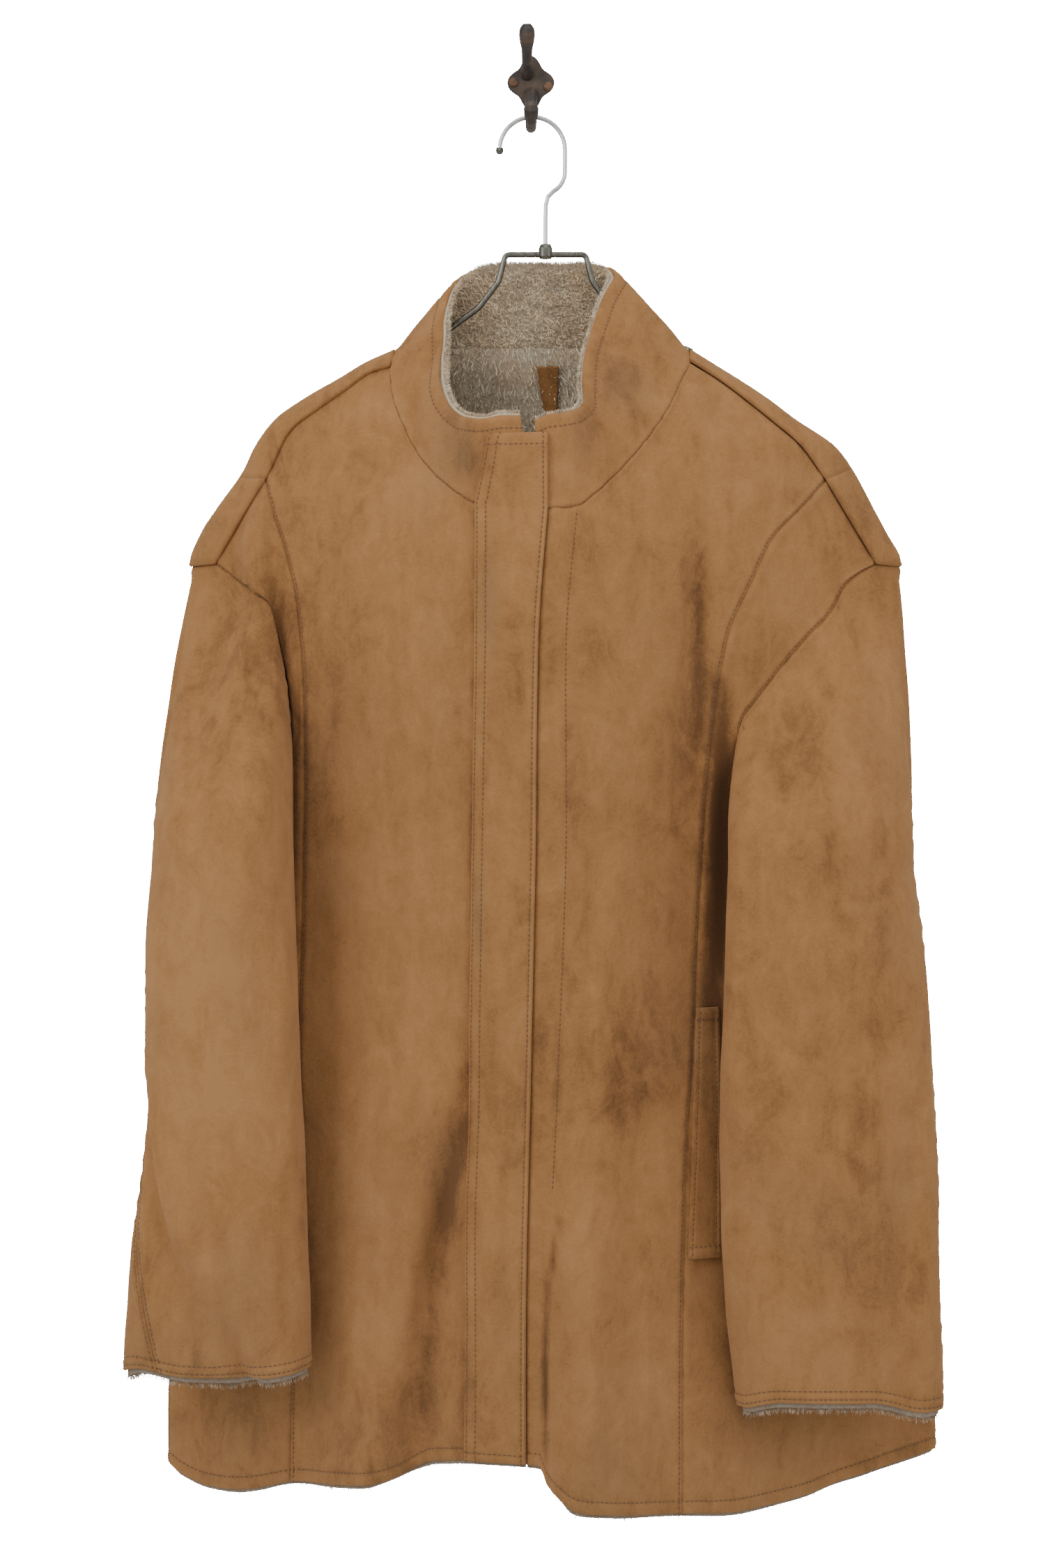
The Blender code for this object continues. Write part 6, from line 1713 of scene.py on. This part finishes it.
def hem_rows(face, left, right):
    """Rows of points of the form, up from the hem."""
    x = np.linspace(left, right, int(abs(right - left) / (4 * MM)))
    z = np.stack([hem[face](x) + rise for rise in np.linspace(0, 0.022, 10)])
    return body(np.broadcast_to(x, z.shape), z, face)


seam_half = {side: float(HALF[side](LOWEST)) for side in (1, -1)}
front_right = hem_rows(1, float(closing(HEM_Z)), seam_half[1])
whole_back = hem_rows(-1, seam_half[1], -seam_half[-1])
front_left = hem_rows(1, -seam_half[-1], float(closing(HEM_Z)) - CLOSING_GAP)
hem_line = Grid(np.concatenate([front_right, whole_back[:, 1:], front_left[:, 1:]], axis=1))
hem_band = band(hem_line.points, hem_line.normals, 5 * MM)
GROUNDS["hem_fur"] = fur_ground("hem_fur", hem_band, EDGE_PILE, EDGE_GROUND, rim=0)
print("fur grounds:", sorted(GROUNDS))

# %% [markdown]
# The hairs grow from a Geometry Nodes tree. It scatters points on the ground's visible side, leans
# each hair the way the fur lies, varies its turn and its length, and turns the copies into one
# mesh. One hair is a bent blade with three faces, and its stored number "tip" rises from 0 to 1.

# %% Hairs
BLADE_LONG, BLADE_HALF = 7.5 * MM, 0.42 * MM
# The edges across one hair: height and lean as shares of its length, and share of its full width
BLADE_EDGES = ((0, 0, 1.0), (0.38, 0.05, 0.95), (0.74, 0.20, 0.7), (1.0, 0.42, 0.15))
SWING, SHORTEST = 0.55, 0.55
BARE_ROWS, BARE_HALF = 8, 0.8  # how far up and to each side the hanger leaves the collar bare


def blade_mesh():
    """One hair: a bent blade that narrows to its tip."""
    points, tips = [], []
    for height, lean, thin in BLADE_EDGES:
        for side in (-1, 1):
            points.append((side * BLADE_HALF * thin, lean * BLADE_LONG, height * BLADE_LONG))
            tips.append(height)
    faces = [(k, k + 1, k + 3, k + 2) for k in (0, 2, 4)]
    made = mesh_piece("hair", points, faces, FUR_LOOK, {"tip": tips})
    made.hide_render = True
    return made


def kit_tree(name, inputs):
    """An empty Geometry Nodes tree with a geometry in and out, and other named inputs."""
    group = bpy.data.node_groups.new(name, "GeometryNodeTree")
    face = group.interface
    face.new_socket("Geometry", in_out="INPUT", socket_type="NodeSocketGeometry")
    face.new_socket("Geometry", in_out="OUTPUT", socket_type="NodeSocketGeometry")
    for key, kind in inputs.items():
        face.new_socket(key, in_out="INPUT", socket_type=f"NodeSocket{kind}")
    tree = Tree(group)
    start = group.nodes.new("NodeGroupInput")
    return tree, {socket.name: Value(tree, socket) for socket in start.outputs if socket.name}


def ended(tree, geometry, finish):
    """Ends a tree with real copies in one finish."""
    real = tree.node("GeometryNodeRealizeInstances", {}, {"Geometry": geometry})
    done = tree.node("GeometryNodeSetMaterial", {}, {"Geometry": real, "Material": finish})
    end = tree.tree.nodes.new("NodeGroupOutput")
    tree.into(done, end.inputs["Geometry"])
    return tree.tree


def grown(name, base, group, inputs):
    """The mesh that a Geometry Nodes tree makes from a base object, as a new object."""
    modifier = base.modifiers.new(name, "NODES")
    modifier.node_group = group
    for item in group.interface.items_tree:
        if item.in_out == "INPUT" and item.name in inputs:
            modifier[item.identifier] = inputs[item.name]
    graph = bpy.context.evaluated_depsgraph_get()
    mesh = bpy.data.meshes.new_from_object(base.evaluated_get(graph))
    mesh.name = name
    base.modifiers.remove(modifier)
    made = bpy.data.objects.new(name, mesh)
    bpy.context.scene.collection.objects.link(made)
    return made


def hair_tree():
    """The Geometry Nodes tree that turns a layer of faces into hairs."""
    tree, given = kit_tree("hairs", {"Density": "Float", "Seed": "Int", "Lay": "Vector",
                                     "Hair": "Object", "Length": "Float", "Finish": "Material"})
    mesh, density, seed = (given[key] for key in ("Geometry", "Density", "Seed"))
    scatter = tree.node("GeometryNodeDistributePointsOnFaces", {},
                        {"Mesh": mesh, "Density": density, "Seed": seed})
    normal = Value(tree, scatter.socket.node.outputs["Normal"])

    def random(kind, low, high, number):
        value = {"Min": low, "Max": high, "Seed": seed + number}
        node = tree.tree.nodes.new("FunctionNodeRandomValue")
        node.data_type = kind
        picks = [s for s in node.inputs if s.enabled]
        for socket, key in zip([s for s in picks if s.name in value], ("Min", "Max", "Seed")):
            if isinstance(value[key], Value):
                tree.into(value[key], socket)
            else:
                socket.default_value = value[key]
        return Value(tree, next(s for s in node.outputs if s.enabled))

    swing = random("FLOAT_VECTOR", (-SWING,) * 3, (SWING,) * 3, 1)
    way = tree.node("ShaderNodeVectorMath", {"operation": "ADD"}, {0: normal, 1: given["Lay"]})
    way = tree.node("ShaderNodeVectorMath", {"operation": "ADD"}, {0: way, 1: swing})
    turn = tree.node("FunctionNodeAlignRotationToVector", {"axis": "Z"}, {"Vector": way})
    angle = random("FLOAT", 0.0, 6.283, 2)
    spin = tree.node("FunctionNodeAxisAngleToRotation", {}, {"Axis": (0, 0, 1), "Angle": angle})
    turn = tree.node("FunctionNodeRotateRotation", {"rotation_space": "LOCAL"},
                     {"Rotation": turn, "Rotate By": spin})
    size = random("FLOAT", SHORTEST, 1.0, 3) * given["Length"]
    hair = tree.node("GeometryNodeObjectInfo", {}, {"Object": given["Hair"]}, output="Geometry")
    copies = tree.node("GeometryNodeInstanceOnPoints", {},
                       {"Points": scatter, "Instance": hair, "Rotation": turn, "Scale": size})
    return ended(tree, copies, given["Finish"])


def hair_bed(name, points, closed, turn_over):
    """The visible side of the fur's ground as one layer of faces. None where the hanger passes."""
    index = np.arange(points.shape[0] * points.shape[1]).reshape(points.shape[:2])
    if closed:
        index = np.concatenate([index, index[:, :1]], axis=1)
    faces = quads(index)
    if name == "collar_fur" and len(points) > BARE_ROWS:
        bare = np.zeros((len(points) - 1, len(stations) - 1), bool)
        for place in HANGER_STATIONS:
            bare[:BARE_ROWS] |= abs(stations[:-1] - place) < BARE_HALF
        faces = faces[~bare.ravel()]
    if turn_over:
        faces = faces[:, ::-1]
    bed = mesh_piece(name + "_bed", points.reshape(-1, 3), faces, FUR_GROUND)
    bed.hide_render = True
    return bed


HAIR_TREE, HAIR = hair_tree(), blade_mesh()
ALL, RIM_ROWS = slice(None), slice(-4, None)
BEDS = table("name rows number lay length closed over finish", [
    ("collar_fur", slice(0, -3), 23000, (0.15, -0.1, -0.25), 0.85, False, True, FUR_LOOK),
    ("collar_fur", RIM_ROWS, 9000, (0.0, 0.0, 0.25), 0.42, False, True, FUR_LOOK),
    ("back_neck_fur", ALL, 15000, (0.1, 0.0, -0.75), 0.95, False, False, NECK_LOOK),
    ("cuff_fur_right", ALL, 5500, (0.0, 0.0, -0.6), 0.66, True, False, EDGE_LOOK),
    ("cuff_fur_left", ALL, 5500, (0.0, 0.0, -0.6), 0.66, True, False, EDGE_LOOK),
    ("hem_fur", ALL, 14500, (0.0, 0.0, -0.5), 0.55, False, False, EDGE_LOOK),
])


def surface_area(points):
    """Area in square metres of a grid of points."""
    corner = points[:-1, :-1]
    faces = np.cross(points[:-1, 1:] - corner, points[1:, :-1] - corner)
    return float(np.linalg.norm(faces, axis=-1).sum())


def joined(name, parts):
    """One object from several meshes."""
    with bpy.context.temp_override(active_object=parts[0], selected_editable_objects=parts):
        bpy.ops.object.join()
    parts[0].name = name
    return parts[0]


HAIRS = {}
for seed, bed in enumerate(BEDS):
    top = GROUNDS[bed.name][bed.rows]
    count = bed.number
    base = hair_bed(bed.name, top, bed.closed, bed.over)
    made = grown(bed.name + "_hairs", base, HAIR_TREE, {
        "Density": count / surface_area(top), "Seed": seed, "Lay": bed.lay, "Hair": HAIR,
        "Length": bed.length, "Finish": bed.finish})
    old = HAIRS.get(bed.name)
    HAIRS[bed.name] = joined(bed.name + "_hairs", [old, made]) if old else made
    bpy.data.objects.remove(base)
bpy.data.objects.remove(HAIR)
print("hairs:", {name: len(made.data.polygons) // 3 for name, made in HAIRS.items()})

# %% [markdown]
# ## Topstitching
#
# Each noted row becomes a curve, and the curve is cut into equal steps of 3.6 mm. On each step lies
# one small stitch, along the curve and flat on the cloth.

# %% Stitches
STITCH_STEP, STITCH_LIFT = 3.6 * MM, 0.04 * MM
# The square sections of one stitch, in mm: place along it, half its width, half its height
STITCH_SECTIONS = ((-1.35, 0.12, 0.10), (0.0, 0.42, 0.32), (1.35, 0.12, 0.10))
TO_CORNER = 1.41


def stitch_mesh():
    """One stitch: a small spindle with a square section."""
    points = []
    for place, wide, high in STITCH_SECTIONS:
        for turn in range(4):
            angle = math.pi / 2 * turn + math.pi / 4
            points.append((place * MM, TO_CORNER * wide * math.cos(angle) * MM,
                           TO_CORNER * high * math.sin(angle) * MM + STITCH_LIFT))
    index = np.arange(len(points)).reshape(-1, 4)
    faces = [*quads(np.hstack([index, index[:, :1]])), (3, 2, 1, 0), (8, 9, 10, 11)]
    made = mesh_piece("stitch", points, faces, THREAD_LOOK)
    made.hide_render = True
    return made


def stitch_tree():
    """The Geometry Nodes tree that lays stitches along lines."""
    tree, given = kit_tree("stitches", {"Step": "Float", "Stitch": "Object"})
    path = tree.node("GeometryNodeMeshToCurve", {}, {"Mesh": given["Geometry"]})
    path = tree.node("GeometryNodeResampleCurve", {"mode": "LENGTH"},
                     {"Curve": path, "Length": given["Step"]})
    out = tree.node("GeometryNodeInputNamedAttribute", {"data_type": "FLOAT_VECTOR"},
                    {"Name": "out"})
    tangent = tree.node("GeometryNodeInputTangent", {}, {})
    turn = tree.node("FunctionNodeAxesToRotation", {"primary_axis": "Z", "secondary_axis": "X"},
                     {"Primary Axis": out, "Secondary Axis": tangent})
    stitch = tree.node("GeometryNodeObjectInfo", {}, {"Object": given["Stitch"]}, output="Geometry")
    copies = tree.node("GeometryNodeInstanceOnPoints", {},
                       {"Points": path, "Instance": stitch, "Rotation": turn})
    return ended(tree, copies, THREAD_LOOK)


def line_mesh(lines):
    """The noted rows as chains of edges, which also store the cloth's way out."""
    points = np.concatenate([part[:, :3] for part in lines])
    ways = unit(np.concatenate([part[:, 3:] for part in lines]))
    edges, first = [], 0
    for part in lines:
        edges += [(first + i, first + i + 1) for i in range(len(part) - 1)]
        first += len(part)
    mesh = bpy.data.meshes.new("stitch_lines")
    mesh.from_pydata(points.tolist(), edges, [])
    mesh.attributes.new("out", "FLOAT_VECTOR", "POINT").data.foreach_set(
        "vector", ways.astype(np.float32).ravel())
    made = bpy.data.objects.new("stitch_lines", mesh)
    bpy.context.scene.collection.objects.link(made)
    return made


stitch = stitch_mesh()
lines = line_mesh(STITCH_LINES)
topstitching = grown("topstitching", lines, stitch_tree(),
                     {"Step": STITCH_STEP, "Stitch": stitch})
for spare in (stitch, lines):
    bpy.data.objects.remove(spare)
print("stitch rows:", len(STITCH_LINES), "faces:", len(topstitching.data.polygons))

# %% Finishes of the metal nodes
METALS = {"hanger_frame": STEEL_LOOK, "hanger_hook": HOOK_STEEL, "hanger_hook_ball": STEEL_LOOK,
          "hanger_ferrule": STEEL_LOOK, "wall_hook": IRON_LOOK, "wall_screw_right": SCREW_LOOK,
          "wall_screw_left": SCREW_LOOK}
metal_nodes = [o for o in bpy.context.scene.objects if o.name in METALS]
for node in metal_nodes:
    for slot in node.material_slots:
        slot.material = METALS[node.name]
    if not node.material_slots:
        node.data.materials.append(METALS[node.name])
print("metal nodes:", len(metal_nodes))

for whole in ("back_centre", "side_back_right", "side_back_left"):
    names = sorted(n for n in PIECES if n.startswith(whole + "_shoulder"))
    PIECES[whole] = joined(whole + "_cloth", [PIECES[whole]] + [PIECES.pop(n) for n in names])


for name, piece in PIECES.items():
    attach(piece, "root")
    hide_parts(name)
    if name in HAIRS:
        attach(HAIRS[name], "root")
    "fur" if "fur" in name else "suede"
    [HAIRS[name]] if name in HAIRS else []
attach(topstitching, "root")
